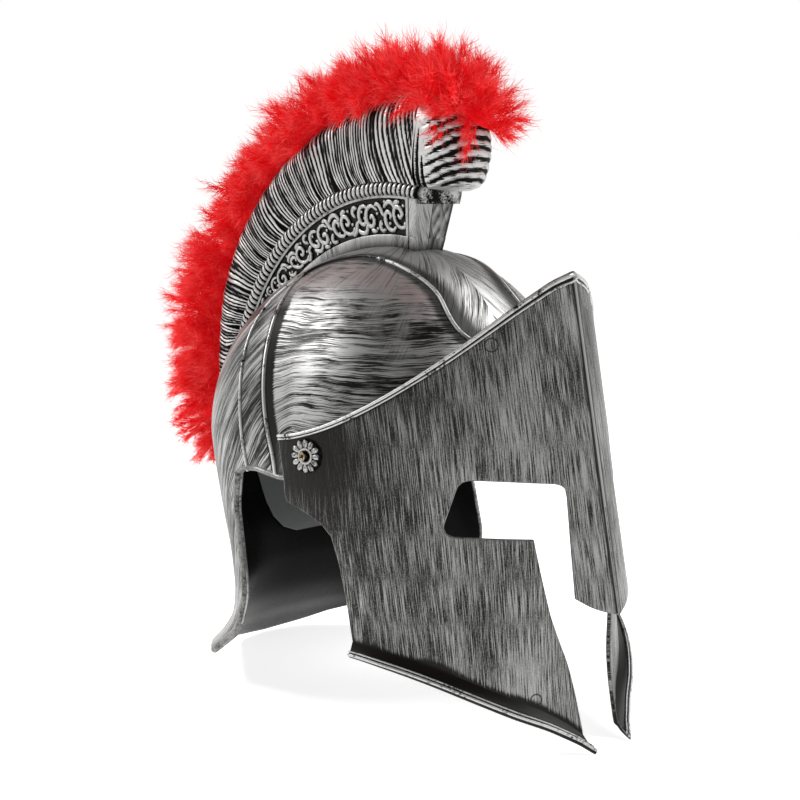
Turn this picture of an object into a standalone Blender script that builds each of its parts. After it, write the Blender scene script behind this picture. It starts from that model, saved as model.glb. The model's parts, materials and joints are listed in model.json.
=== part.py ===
"""Gladiator helmet: a hollow dome with a flared neck guard, a keeled face plate that
turns on two temple rivets, and a curved crest that carries a red feather trim.

Metres, +Z up. The front of the helmet faces -Y and the wearer's left side is +X.
Shapes are worked out about the skull's own centre line and moved by BACK_SHIFT, so
that the helmet's bounding box is centred on the origin. It stands on the floor on
the two tips of the face plate and on the back of the neck guard.
"""

import math
import random

import bmesh
import bpy
import numpy as np
from mathutils import Vector

# Skull: half widths, reach to the front and back, height of its widest section
SKULL_HALF_WIDTH = 0.097
SKULL_FRONT = 0.0925
SKULL_BACK = 0.1218
SKULL_MID_Z = 0.147
SKULL_RISE = 0.1094
SKULL_ROUNDNESS = 2.35
SHELL_WALL = 0.0024
BACK_SHIFT = -0.0290
FLOOR_LIFT = 0.0007

# Neck guard below the widest section: height, half width, reach to the back
NECK_COLUMNS = ("z", "half_width", "back")
NECK_ROWS = (
    (-0.012, 0.1080, 0.1500),
    (0.000, 0.1070, 0.1400),
    (0.013, 0.1055, 0.1250),
    (0.028, 0.1025, 0.1060),
    (0.043, 0.1000, 0.0925),
    (0.058, 0.0995, 0.0884),
    (0.076, 0.0992, 0.0920),
    (0.108, 0.0980, 0.1076),
    (0.130, 0.0972, 0.1170),
    (0.147, 0.0970, 0.1218),
)

# Side outline of the shell's lower edge, from the rear rim to the forehead: y, z, corner radius
SHELL_EDGE_ROWS = (
    (0.1400, -0.0007, 0.0),
    (0.1320, 0.0040, 0.0),
    (0.1220, 0.0095, 0.0),
    (0.1060, 0.0155, 0.0),
    (0.0880, 0.0180, 0.0),
    (0.0720, 0.0190, 0.003),
    (0.0400, 0.0380, 0.022),
    (0.0270, 0.0640, 0.030),
    (0.0370, 0.1130, 0.030),
    (0.0370, 0.1340, 0.010),
    (-0.0050, 0.1330, 0.0),
    (-0.0350, 0.1380, 0.010),
    (-0.0700, 0.1660, 0.020),
)
SHELL_EDGE_FAR = 0.20
SHELL_EDGE_FALL = -0.0300
TAG_SLOT = (0.0020, 0.0045, 0.0180)
TAG_SLOT_DEPTH = 0.06

# Raised beads on each side of the skull, as heights at points along the side view
BEAD_RADIUS = 0.0015
BEAD_COLUMNS = ("y", "z")
PANEL_BEAD = (
    (-0.0020, 0.1290), (0.0024, 0.1480), (0.0110, 0.1700), (0.0195, 0.1930),
    (0.0260, 0.2110), (0.0320, 0.2260), (0.0345, 0.2390), (0.0220, 0.2470),
    (-0.0030, 0.2505), (-0.0300, 0.2455), (-0.0535, 0.2325), (-0.0750, 0.2080),
)
NAPE_BEAD = (
    (0.0230, 0.1280), (0.0290, 0.1460), (0.0360, 0.1710), (0.0440, 0.1940),
    (0.0487, 0.2110), (0.0470, 0.2250), (0.0356, 0.2405),
)

# Face plate: ridge line, temples, wall
RIDGE_TOP_Z = 0.2451
RIDGE_LEAN = 0.19
VISOR_WALL = 0.0024
EYES_Z = 0.160
CHEEK_Z = 0.050
NOSE_HALF_WIDTH = 0.0202
BRIDGE_BLEND = 0.0195
TIP_SWEEP = 0.0050
TIP_SWEEP_X = (0.0140, 0.0314)
TIP_SWEEP_Z = 0.0078

# Plan of the face plate from the ridge to the rear edge, at eye and cheek height
PLAN_COLUMNS = ("x", "eyes_y", "cheek_y")
PLAN_ROWS = (
    (0.0000, -0.1414, -0.1470),
    (0.0100, -0.1382, -0.1425),
    (0.0202, -0.1325, -0.1369),
    (0.0214, -0.1317, -0.1363),
    (0.0300, -0.1254, -0.1315),
    (0.0400, -0.1164, -0.1250),
    (0.0550, -0.1004, -0.1135),
    (0.0730, -0.0784, -0.0960),
    (0.0850, -0.0604, -0.0800),
    (0.0950, -0.0394, -0.0500),
    (0.1000, -0.0234, -0.0200),
    (0.1025, -0.0064, 0.0000),
    (0.1032, 0.0140, 0.0160),
)

# Side outline of the face plate, as (y, z) points seen from the side
BROW_REAR = (-0.0090, 0.1590)
BROW_SLOPE = 0.0985
BROW_CURVE = 5.54
NOSE_TIP = (-0.1583, 0.0708)
NOSE_CORNER = (-0.1466, 0.0808)
WING_REAR = (
    (-0.0434, 0.1080),
    (-0.0367, 0.1146),
    (-0.0250, 0.1200),
    (-0.0135, 0.1240),
    (-0.0122, 0.1397),
)
CHEEK_REAR = (
    (-0.0570, 0.0547),
    (-0.0547, 0.0660),
    (-0.0520, 0.0790),
    (-0.0482, 0.0940),
    (-0.0434, 0.1080),
)
EYE_SLOT_TOP = ((-0.1376, 0.1383), (-0.1000, 0.1405))
EYE_SLOT_REAR = ((-0.1000, 0.1405), (-0.0943, 0.1120))
EYE_SLOT_FLOOR = ((-0.1272, 0.1099), (-0.0943, 0.1112))
EYE_SLOT_RADIUS = 0.005
CHEEK_FRONT = (
    (-0.1471, 0.0078),
    (-0.1441, 0.0200),
    (-0.1408, 0.0350),
    (-0.1371, 0.0520),
    (-0.1335, 0.0700),
    (-0.1303, 0.0900),
    (-0.1272, 0.1099),
)
CREASE_SLOPE = 0.02
CREASE_CURVE = 5.57
CREASE_SPLIT_Y = -0.1040
HEM_OUT_FRONT = 0.0092
HEM_OUT_REAR = 0.0042
HEM_DROP = 0.0066

# Temple pivots: one axis along X through both sides
PIVOT_Y = -0.0290
PIVOT_Z = 0.1495
PIVOT_HOLE = 0.0022
RIVET_RADIUS = 0.0017
RIVET_BORE = 0.0009
RIVET_FLANGE = 0.0030
RIVET_INNER_X = 0.0898
RIVET_OUTER_X = 0.1018
ROSETTE_RADIUS = 0.0095
ROSETTE_PETALS = 12
ROSETTE_X = 0.0987
ROSETTE_TILT = 16.0
ROSETTE_HOLE = 0.0027
ROSETTE_RIM = 0.0012
ROSETTE_CROWN = 0.0026
GAP = 0.0003

# Crest: circles about the skull's centre seen from the side, angles from straight up
CREST_FRONT_ANGLE = -10.5
CREST_REAR_ANGLE = 117.0
PLINTH_TOP_R = 0.1375
PLINTH_BORDER_R = 0.1155
PLINTH_TOP_HALF = 0.0157
PLINTH_FOOT_HALF = 0.0112
PLINTH_SEAT = 0.0008
PLINTH_PANEL_DEPTH = 0.0014
BAND_TOP_R = 0.1450
BAND_HALF = 0.0180
BULGE_FLOOR_Z = 0.2885

# Mane: angle, outer radius, greatest half width
MANE_COLUMNS = ("angle", "radius", "half_width")
MANE_ROWS = (
    (-20.0, 0.1890, 0.0160),
    (-15.0, 0.1950, 0.0215),
    (-9.0, 0.1975, 0.0225),
    (1.5, 0.1935, 0.0222),
    (10.0, 0.1900, 0.0218),
    (20.0, 0.1870, 0.0214),
    (35.0, 0.1825, 0.0210),
    (51.0, 0.1775, 0.0206),
    (60.0, 0.1740, 0.0204),
    (74.0, 0.1640, 0.0200),
    (90.0, 0.1560, 0.0194),
    (104.0, 0.1510, 0.0186),
    (115.0, 0.1475, 0.0176),
)

# Blunt front end of the mane: angle, share of its width, how far it is drawn in
MANE_NOSE_ROWS = (
    (-20.0, 0.62, 0.012),
    (-18.6, 0.86, 0.004),
    (-15.0, 1.00, 0.000),
    (-11.5, 1.00, 0.000),
)
MANE_FLANK_LOW = 0.35
MANE_FLANK_HIGH = 0.62
MANE_SHOULDER = 0.72
MANE_CROWN = 0.12

# Plume: angle, outer radius of its locks, half width
PLUME_COLUMNS = ("angle", "radius", "half_width")
PLUME_ROWS = (
    (-21.0, 0.2090, 0.0260),
    (-10.0, 0.2180, 0.0300),
    (5.0, 0.2240, 0.0300),
    (30.0, 0.2200, 0.0290),
    (55.0, 0.2210, 0.0290),
    (70.0, 0.2260, 0.0290),
    (85.0, 0.2180, 0.0270),
    (99.0, 0.2060, 0.0240),
)
PLUME_LIFT = 0.0075
PLUME_BACKING_HALF = 0.0150
PLUME_BACKING_RISE = 0.0085
PLUME_STATIONS = 20
PLUME_LOCKS = 22
PLUME_VOXEL = 0.0083
LOCK_WIDTH = 0.0115
LOCK_ROOT_HALF = 0.0110
LOCK_TRAIL = 2.0
LOCK_LEANS = ((-0.75, 0.86), (0.0, 1.0), (0.75, 0.86))
LOCK_SHAPE = ((0.0, 0.85), (0.3, 1.0), (0.62, 0.78), (0.88, 0.36), (1.0, 0.12))

# Blank label on the inside of the nape
LABEL_HALF_WIDTH = 0.0280
LABEL_LOW_Z = 0.0770
LABEL_HIGH_Z = 0.1500
LABEL_THICKNESS = 0.0004
LABEL_STANDOFF = 0.0009


def clear_scene():
    for item in list(bpy.data.objects):
        bpy.data.objects.remove(item, do_unlink=True)


def new_collection(name):
    collection = bpy.data.collections.new(name)
    bpy.context.scene.collection.children.link(collection)
    return collection


def make_material(name, colour, roughness, metallic):
    material = bpy.data.materials.new(name)
    material.use_nodes = True
    shader = material.node_tree.nodes["Principled BSDF"]
    shader.inputs["Base Color"].default_value = (*colour, 1.0)
    shader.inputs["Roughness"].default_value = roughness
    shader.inputs["Metallic"].default_value = metallic
    return material


def column(rows, names, name):
    index = names.index(name)
    return [row[index] for row in rows]


def smooth_value(knots, values, at):
    """Value at a place along a smooth curve through knots; past the ends it stays level."""
    knots = np.asarray(knots, float)
    values = np.asarray(values, float)
    slopes = np.gradient(values, knots)
    at = float(np.clip(at, knots[0], knots[-1]))
    i = int(np.clip(np.searchsorted(knots, at) - 1, 0, len(knots) - 2))
    width = knots[i + 1] - knots[i]
    t = (at - knots[i]) / width
    start = (1.0 + 2.0 * t) * (1.0 - t) ** 2 * values[i]
    start += t * (1.0 - t) ** 2 * width * slopes[i]
    end = t * t * (3.0 - 2.0 * t) * values[i + 1]
    end += t * t * (t - 1.0) * width * slopes[i + 1]
    return float(start + end)


def object_from(bm, name, collection, material, parent):
    mesh = bpy.data.meshes.new(name)
    bm.to_mesh(mesh)
    bm.free()
    item = bpy.data.objects.new(name, mesh)
    collection.objects.link(item)
    item.parent = parent
    if material:
        mesh.materials.append(material)
    return item


def shade(item, angle=35.0):
    item.data.shade_smooth()
    item.data.set_sharp_from_angle(angle=math.radians(angle))


def add_solidify(item, thickness, offset=-1.0):
    wall = item.modifiers.new("wall", "SOLIDIFY")
    wall.thickness = thickness
    wall.offset = offset
    wall.use_even_offset = True
    return wall


def add_boolean(item, cutter, operation):
    cut = item.modifiers.new(cutter.name, "BOOLEAN")
    cut.operation = operation
    cut.object = cutter
    cut.solver = "EXACT"
    return cut


def hide_guide(item):
    item.hide_render = True
    item.display_type = "WIRE"


def rounded_outline(corners, steps=5):
    """Outline through (y, z, radius) corners, each radius turned as an arc."""
    points = []
    count = len(corners)
    for i, (y, z, radius) in enumerate(corners):
        here = Vector((y, z))
        before = Vector(corners[i - 1][:2])
        after = Vector(corners[(i + 1) % count][:2])
        if radius <= 0.0:
            points.append(here)
            continue
        back = (before - here).normalized()
        ahead = (after - here).normalized()
        turn = back.angle(ahead)
        reach = radius / math.tan(turn / 2.0)
        centre = here + (back + ahead).normalized() * (radius / math.sin(turn / 2.0))
        first = here + back * reach - centre
        last = here + ahead * reach - centre
        for step in range(steps + 1):
            t = step / steps
            spoke = first.lerp(last, t)
            points.append(centre + spoke.normalized() * radius)
    return points


def mesh_from_curve(source, name, collection, parent):
    """Turn a curve into a closed guide mesh with its doubles merged."""
    bpy.context.view_layer.update()
    graph = bpy.context.evaluated_depsgraph_get()
    mesh = bpy.data.meshes.new_from_object(source.evaluated_get(graph))
    mesh.transform(source.matrix_world)
    bpy.data.objects.remove(source, do_unlink=True)
    bm = bmesh.new()
    bm.from_mesh(mesh)
    bmesh.ops.remove_doubles(bm, verts=bm.verts, dist=0.00001)
    bmesh.ops.recalc_face_normals(bm, faces=bm.faces)
    bm.to_mesh(mesh)
    bm.free()
    guide = bpy.data.objects.new(name, mesh)
    collection.objects.link(guide)
    guide.parent = parent
    hide_guide(guide)
    return guide


def make_prism(name, outline, half_length, collection, parent):
    """Solid with a (y, z) outline, extruded along X and kept as a guide."""
    curve = bpy.data.curves.new(name, "CURVE")
    curve.dimensions = "2D"
    curve.fill_mode = "BOTH"
    curve.extrude = half_length
    spline = curve.splines.new("POLY")
    spline.points.add(len(outline) - 1)
    for point, (y, z) in zip(spline.points, outline):
        point.co = (y, z, 0.0, 1.0)
    spline.use_cyclic_u = True
    source = bpy.data.objects.new(name + "_outline", curve)
    source.rotation_euler = (math.radians(90.0), 0.0, math.radians(90.0))
    collection.objects.link(source)
    return mesh_from_curve(source, name, collection, parent)


def make_drum(name, radius, start_x, end_x, y, z, collection, parent, sides=20):
    """Round guide along X from start_x to end_x."""
    bm = bmesh.new()
    bmesh.ops.create_cone(
        bm,
        cap_ends=True,
        segments=sides,
        radius1=radius,
        radius2=radius,
        depth=abs(end_x - start_x),
    )
    drum = object_from(bm, name, collection, None, parent)
    drum.location = ((start_x + end_x) / 2.0, y, z)
    drum.rotation_euler = (0.0, math.radians(90.0), 0.0)
    hide_guide(drum)
    return drum


def shell_reach(z):
    """Half width, front reach and back reach of the shell's outer section at z."""
    if z >= SKULL_MID_Z:
        scale = math.sqrt(max(0.0, 1.0 - ((z - SKULL_MID_Z) / SKULL_RISE) ** 2))
        return SKULL_HALF_WIDTH * scale, SKULL_FRONT * scale, SKULL_BACK * scale
    heights = column(NECK_ROWS, NECK_COLUMNS, "z")
    half = smooth_value(heights, column(NECK_ROWS, NECK_COLUMNS, "half_width"), z)
    back = smooth_value(heights, column(NECK_ROWS, NECK_COLUMNS, "back"), z)
    return half, SKULL_FRONT, back


def shell_point(angle, z):
    """Point of the outer shell; angle 0 is the wearer's left, a quarter turn the back."""
    half, front, back = shell_reach(z)
    power = 2.0 / SKULL_ROUNDNESS
    c = math.cos(angle)
    s = math.sin(angle)
    x = half * math.copysign(abs(c) ** power, c)
    reach = back if s > 0.0 else front
    return Vector((x, reach * math.copysign(abs(s) ** power, s), z))


def shell_levels():
    below = [row[0] for row in NECK_ROWS[:-1]]
    lifts = (0.0, 10.0, 20.0, 30.0, 40.0, 50.0, 60.0, 69.0, 77.0, 84.0)
    above = [SKULL_MID_Z + SKULL_RISE * math.sin(math.radians(a)) for a in lifts]
    return below + above


def build_shell_surface(sides=48):
    bm = bmesh.new()
    rings = []
    for z in shell_levels():
        ring = [
            bm.verts.new(shell_point(2.0 * math.pi * (i + 0.5) / sides, z))
            for i in range(sides)
        ]
        rings.append(ring)
    for low, high in zip(rings, rings[1:]):
        for i in range(sides):
            j = (i + 1) % sides
            bm.faces.new((low[i], low[j], high[j], high[i]))
    top = bm.verts.new((0.0, 0.0, SKULL_MID_Z + SKULL_RISE))
    for i in range(sides):
        bm.faces.new((rings[-1][i], rings[-1][(i + 1) % sides], top))
    return bm


def shell_underside():
    """Side outline of everything cut away below the shell's lower edge."""
    far = SHELL_EDGE_FAR
    forehead_z = SHELL_EDGE_ROWS[-1][1]
    outline = [(far, SHELL_EDGE_FALL, 0.0)] + list(SHELL_EDGE_ROWS)
    outline += [(-far, forehead_z + 0.0060, 0.0), (-far, -far / 2.0, 0.0), (far, -far / 2.0, 0.0)]
    return rounded_outline(outline)


def make_bead(name, rows, sign, collection, parent):
    """Round bead laid on the skull's surface, closed at both ends."""
    along = list(range(len(rows)))
    ys = column(rows, BEAD_COLUMNS, "y")
    zs = column(rows, BEAD_COLUMNS, "z")
    points = []
    for at in np.linspace(0.0, len(rows) - 1.0, 2 * len(rows) - 1):
        y = smooth_value(along, ys, at)
        z = smooth_value(along, zs, at)
        half, front, back = shell_reach(z)
        reach = back if y > 0.0 else front
        share = max(0.0, 1.0 - (abs(y) / reach) ** SKULL_ROUNDNESS)
        points.append((sign * half * share ** (1.0 / SKULL_ROUNDNESS), y, z))
    curve = bpy.data.curves.new(name, "CURVE")
    curve.dimensions = "3D"
    curve.bevel_depth = BEAD_RADIUS
    curve.bevel_resolution = 0
    curve.use_fill_caps = True
    spline = curve.splines.new("POLY")
    spline.points.add(len(points) - 1)
    for point, place in zip(spline.points, points):
        point.co = (*place, 1.0)
    source = bpy.data.objects.new(name + "_line", curve)
    collection.objects.link(source)
    return mesh_from_curve(source, name, collection, parent)


def build_skull_shell(collection, guides, parent):
    finish = make_material("brushed_silver", (0.42, 0.42, 0.40), 0.35, 0.9)
    shell = object_from(build_shell_surface(), "skull_shell", collection, finish, parent)
    add_solidify(shell, SHELL_WALL)
    for side, sign in (("left", 1.0), ("right", -1.0)):
        for name, rows in (("panel_bead_", PANEL_BEAD), ("nape_bead_", NAPE_BEAD)):
            bead = make_bead(name + side, rows, sign, guides, parent)
            add_boolean(shell, bead, "UNION")
    below = make_prism("shell_underside", shell_underside(), 0.15, guides, parent)
    add_boolean(shell, below, "DIFFERENCE")
    hole = make_drum(
        "shell_pivot_hole", PIVOT_HOLE, -0.12, 0.12, PIVOT_Y, PIVOT_Z, guides, parent, 12
    )
    add_boolean(shell, hole, "DIFFERENCE")
    bm = bmesh.new()
    bmesh.ops.create_cube(bm, size=1.0)
    width, height, slot_z = TAG_SLOT
    bmesh.ops.scale(bm, verts=bm.verts, vec=(width, TAG_SLOT_DEPTH, height))
    slot = object_from(bm, "tag_slot", guides, None, parent)
    slot.location = (0.0, shell_reach(slot_z)[2], slot_z)
    hide_guide(slot)
    add_boolean(shell, slot, "DIFFERENCE")
    return shell


def plate_x(y, z, part):
    """Distance of the plate from the mid-plane at a point of its side view."""
    x = np.array(column(PLAN_ROWS, PLAN_COLUMNS, "x"))
    eyes_y = np.array(column(PLAN_ROWS, PLAN_COLUMNS, "eyes_y"))
    cheek_y = np.array(column(PLAN_ROWS, PLAN_COLUMNS, "cheek_y"))
    ys = eyes_y - RIDGE_LEAN * (EYES_Z - z)
    if z < EYES_Z and part != "nose":
        cheek = eyes_y + (cheek_y - eyes_y) * (EYES_Z - z) / (EYES_Z - CHEEK_Z)
        drop = max(0.0, (CHEEK_Z - z) / (CHEEK_Z - TIP_SWEEP_Z)) ** 1.5
        near_tip = np.clip((TIP_SWEEP_X[1] - x) / (TIP_SWEEP_X[1] - TIP_SWEEP_X[0]), 0.0, 1.3)
        cheek = cheek - TIP_SWEEP * drop * near_tip
        away = np.clip((x - NOSE_HALF_WIDTH) / BRIDGE_BLEND, 0.0, 1.0)
        if part == "cheek":
            away = np.ones_like(x)
        ys = ys + (cheek - ys) * away * away * (3.0 - 2.0 * away)
    if y <= ys[0] + 0.00001:
        return 0.0
    return smooth_value(ys, x, y)


def plate_point(place, part):
    y, z = place
    return Vector((plate_x(y, z, part), y, z))


def ridge_point(z):
    return (PLAN_ROWS[0][1] - RIDGE_LEAN * (EYES_Z - z), z)


def brow_point(y):
    t = BROW_REAR[0] - y
    return (y, BROW_REAR[1] + BROW_SLOPE * t + BROW_CURVE * t * t)


def crease_point(y):
    t = CHEEK_REAR[0][0] - y
    return (y, CHEEK_REAR[0][1] - CREASE_SLOPE * t - CREASE_CURVE * t * t)


def along(points, count):
    """Resample a line through (y, z) points into count equal steps."""
    points = [np.array(p, float) for p in points]
    spans = [np.linalg.norm(b - a) for a, b in zip(points, points[1:])]
    marks = np.concatenate(([0.0], np.cumsum(spans)))
    places = np.linspace(0.0, marks[-1], count + 1)
    ys = np.interp(places, marks, [p[0] for p in points])
    zs = np.interp(places, marks, [p[1] for p in points])
    return list(zip(ys, zs))


def patch(floor, roof, front, rear):
    """Grid of side-view points that fills four lines which meet at their ends."""
    floor, roof, front, rear = (np.array(line, float) for line in (floor, roof, front, rear))
    across = len(floor)
    up = len(front)
    rows = []
    for k in range(up):
        v = k / (up - 1)
        row = []
        for i in range(across):
            u = i / (across - 1)
            place = (1.0 - v) * floor[i] + v * roof[i] + (1.0 - u) * front[k] + u * rear[k]
            place = place - (1.0 - v) * ((1.0 - u) * floor[0] + u * floor[-1])
            place = place - v * ((1.0 - u) * roof[0] + u * roof[-1])
            row.append(place)
        rows.append(row)
    return rows


def eye_slot():
    """Top, rear and floor lines of the eye slot, with its rear corners rounded."""
    corners = (
        (*EYE_SLOT_TOP[0], 0.0),
        (*EYE_SLOT_TOP[1], EYE_SLOT_RADIUS),
        (*EYE_SLOT_REAR[1], EYE_SLOT_RADIUS),
        (*EYE_SLOT_FLOOR[0], 0.0),
    )
    points = rounded_outline(corners, 4)
    return points[0:4], points[3:9], points[8:12]


def visor_patches():
    """Side-view grids of one half of the plate and the surface each one lies on."""
    slot_top, slot_rear, slot_floor = eye_slot()
    slot_front_z = EYE_SLOT_TOP[0][1]
    top_corner = slot_rear[0]
    low_corner = slot_rear[-1]
    rise = 6
    nose_cols = 3
    eye_cols = 5
    side_cols = 9
    low_rows = 6
    ridge_y = ridge_point(slot_front_z)[0]
    brow_ys = (ridge_point(RIDGE_TOP_Z)[0], -0.1085, -0.0840, BROW_REAR[0])
    brow_nose = [brow_point(y) for y in np.linspace(brow_ys[0], brow_ys[1], nose_cols + 1)]
    brow_eye = [brow_point(y) for y in np.linspace(brow_ys[1], brow_ys[2], eye_cols + 1)]
    brow_side = [brow_point(y) for y in np.linspace(brow_ys[2], brow_ys[3], side_cols + 1)]
    ridge_up = along((ridge_point(slot_front_z), brow_nose[0]), rise)
    split_nose = along((EYE_SLOT_TOP[0], brow_eye[0]), rise)
    split_eye = along((top_corner, brow_side[0]), rise)
    rear_up = along((WING_REAR[-1], brow_side[-1]), rise)
    bridge = along(((ridge_y, slot_front_z), EYE_SLOT_TOP[0]), nose_cols)
    waist = along((top_corner, WING_REAR[-1]), side_cols)
    jaw = along((low_corner, WING_REAR[0]), side_cols)
    split_cheek = along((crease_point(CREASE_SPLIT_Y), low_corner), low_rows)
    front_ys = np.linspace(CHEEK_FRONT[0][0], CREASE_SPLIT_Y, eye_cols + 1)
    rear_ys = np.linspace(CREASE_SPLIT_Y, CHEEK_REAR[0][0], side_cols + 1)
    crease_front = [crease_point(y) for y in front_ys]
    crease_front[0] = CHEEK_FRONT[0]
    crease_rear = [crease_point(y) for y in rear_ys]
    ridge_down = along((NOSE_TIP, ridge_point(slot_front_z)), 5)
    nose_edge = along((NOSE_CORNER, EYE_SLOT_TOP[0]), 5)
    nose_floor = along((NOSE_TIP, NOSE_CORNER), nose_cols)
    cheek_rear = along(CHEEK_REAR, low_rows)
    cheek_front = along(CHEEK_FRONT, low_rows)
    cheek_roof = along(slot_floor[::-1], eye_cols)
    return (
        (patch(nose_floor, bridge, ridge_down, nose_edge), "nose"),
        (patch(bridge, brow_nose, ridge_up, split_nose), "brow"),
        (patch(along(slot_top, eye_cols), brow_eye, split_nose, split_eye), "brow"),
        (patch(waist, brow_side, split_eye, rear_up), "brow"),
        (patch(jaw, waist, along(slot_rear[::-1], 4), WING_REAR), "cheek"),
        (patch(crease_rear, jaw, split_cheek, cheek_rear), "cheek"),
        (patch(crease_front, cheek_roof, cheek_front, split_cheek), "cheek"),
    )


def add_patch(bm, rows):
    grid = [[bm.verts.new(p) for p in row] for row in rows]
    for low, high in zip(grid, grid[1:]):
        for i in range(len(low) - 1):
            bm.faces.new((low[i], low[i + 1], high[i + 1], high[i]))


def hem_row(row, first, last):
    """Lip of the flared hem under one row of crease points."""
    lip = []
    for i, point in enumerate(row):
        t = (point.y - first) / (last - first)
        ahead = plate_point((point.y + 0.002, point.z), "cheek") - point
        behind = plate_point((point.y - 0.002, point.z), "cheek") - point
        run = (ahead - behind).normalized()
        square = min(1.0, t / 0.25)
        out = Vector((run.y, -run.x, 0.0)) * square + Vector((-0.06, -1.0, 0.0)) * (1.0 - square)
        out.normalize()
        flare = HEM_OUT_FRONT + (HEM_OUT_REAR - HEM_OUT_FRONT) * t
        lip.append(point + out * flare + Vector((0.0, 0.0, -HEM_DROP)))
    return lip


def build_visor_surface():
    bm = bmesh.new()
    patches = visor_patches()
    for rows, part in patches:
        add_patch(bm, [[plate_point(place, part) for place in row] for row in rows])
    first = CHEEK_FRONT[0][0]
    last = CHEEK_REAR[0][0]
    for rows, part in patches[-2:]:
        crease = [plate_point(place, part) for place in rows[0]]
        add_patch(bm, [hem_row(crease, first, last), crease])
    bmesh.ops.remove_doubles(bm, verts=bm.verts, dist=0.00002)
    return bm


def build_visor(collection, guides, parent):
    finish = make_material("dark_brushed_silver", (0.20, 0.20, 0.19), 0.4, 0.85)
    visor = object_from(build_visor_surface(), "visor", collection, finish, parent)
    mirror = visor.modifiers.new("both_sides", "MIRROR")
    mirror.merge_threshold = 0.0001
    add_solidify(visor, VISOR_WALL)
    hole = make_drum(
        "visor_pivot_hole", PIVOT_HOLE, -0.12, 0.12, PIVOT_Y, PIVOT_Z, guides, parent, 12
    )
    add_boolean(visor, hole, "DIFFERENCE")
    return visor


def loft(bm, sections):
    """Close a run of matching sections with side faces and two end caps."""
    rings = [[bm.verts.new(p) for p in section] for section in sections]
    for near, far in zip(rings, rings[1:]):
        count = len(near)
        for i in range(count):
            j = (i + 1) % count
            bm.faces.new((near[i], near[j], far[j], far[i]))
    bm.faces.new(list(reversed(rings[0])))
    bm.faces.new(rings[-1])
    bmesh.ops.recalc_face_normals(bm, faces=bm.faces)


def crest_point(angle, radius, x):
    turn = math.radians(angle)
    return Vector((x, radius * math.sin(turn), SKULL_MID_Z + radius * math.cos(turn)))


def skull_radius(angle, x=0.0):
    """Distance from the skull's centre to its outer surface at an angle seen from the side."""
    turn = math.radians(angle)
    low = 0.05
    high = 0.20
    for _ in range(40):
        middle = (low + high) / 2.0
        y = middle * math.sin(turn)
        z = SKULL_MID_Z + middle * math.cos(turn)
        if z >= SKULL_MID_Z + SKULL_RISE - 0.00001:
            high = middle
            continue
        half, front, back = shell_reach(z)
        reach = back if y > 0.0 else front
        inside = (abs(x) / half) ** SKULL_ROUNDNESS + (abs(y) / reach) ** SKULL_ROUNDNESS
        if inside < 1.0:
            low = middle
        else:
            high = middle
    return low


def crest_angles(step):
    span = CREST_REAR_ANGLE - CREST_FRONT_ANGLE
    count = int(round(span / step))
    return [CREST_FRONT_ANGLE + span * i / count for i in range(count + 1)]


def build_crest_plinth(collection, parent):
    finish = make_material("plinth_silver", (0.36, 0.36, 0.34), 0.4, 0.9)
    bm = bmesh.new()
    sections = []
    frame_end = CREST_FRONT_ANGLE + 3.4
    angles = [CREST_FRONT_ANGLE, frame_end] + [a for a in crest_angles(6.0) if a > frame_end + 1.0]
    recessed = [False, False] + [True] * (len(angles) - 2)
    angles.insert(2, frame_end + 0.05)
    recessed.insert(2, True)
    for angle, deep in zip(angles, recessed):
        seat = PLINTH_SEAT if angle < 90.0 else PLINTH_SEAT * 2.0
        foot = skull_radius(angle, PLINTH_FOOT_HALF) + seat
        foot_mid = skull_radius(angle, 0.0) + seat
        border = max(PLINTH_BORDER_R, foot + 0.006)
        border_half = PLINTH_FOOT_HALF + 0.0015
        depth = PLINTH_PANEL_DEPTH if deep else 0.0
        top_inner = PLINTH_TOP_R - 0.0016
        side = [
            (0.0, foot_mid),
            (PLINTH_FOOT_HALF, foot),
            (border_half, border),
            (border_half - depth, border + 0.0004),
            (PLINTH_TOP_HALF - depth, max(top_inner, border + 0.001)),
            (PLINTH_TOP_HALF, max(top_inner + 0.0004, border + 0.0014)),
            (PLINTH_TOP_HALF, max(PLINTH_TOP_R, border + 0.003)),
        ]
        ring = side + [(-x, r) for x, r in reversed(side[1:])]
        sections.append([crest_point(angle, r, x) for x, r in ring])
    loft(bm, sections)
    return object_from(bm, "crest_plinth", collection, finish, parent)


def mane_value(angle, name):
    angles = column(MANE_ROWS, MANE_COLUMNS, "angle")
    return smooth_value(angles, column(MANE_ROWS, MANE_COLUMNS, name), angle)


def mane_floor(angle):
    """Inner radius of the mane: the ribbed band over the plinth, then the bulge's floor."""
    if angle >= CREST_FRONT_ANGLE - 0.01:
        return PLINTH_TOP_R + GAP
    return (BULGE_FLOOR_Z - SKULL_MID_Z) / math.cos(math.radians(angle))


def mane_sections(grow):
    """Cross sections of the mane, grown outward by a clearance."""
    sections = []
    body = [(a, 1.0, 0.0) for a in crest_angles(7.5) if a <= CREST_REAR_ANGLE - 1.5]
    for angle, squeeze, lift in list(MANE_NOSE_ROWS) + body:
        outer = mane_value(angle, "radius") + grow
        half = (mane_value(angle, "half_width") + grow) * squeeze
        floor = mane_floor(angle)
        in_front = angle < CREST_FRONT_ANGLE - 0.01
        band_top = floor + 0.002 if in_front else BAND_TOP_R
        band_half = half * 0.8 if in_front else BAND_HALF
        height = outer - band_top
        side = [
            (0.0, floor + lift * 0.5),
            (band_half, floor + lift * 0.5),
            (band_half, band_top + lift * 0.6),
            (half, band_top + height * MANE_FLANK_LOW),
            (half, band_top + height * MANE_FLANK_HIGH),
            (half * MANE_SHOULDER, outer - height * MANE_CROWN - lift * 0.5),
            (0.0, outer - lift),
        ]
        ring = side + [(-x, r) for x, r in reversed(side[1:-1])]
        sections.append([crest_point(angle, r, x) for x, r in ring])
    return sections


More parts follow.
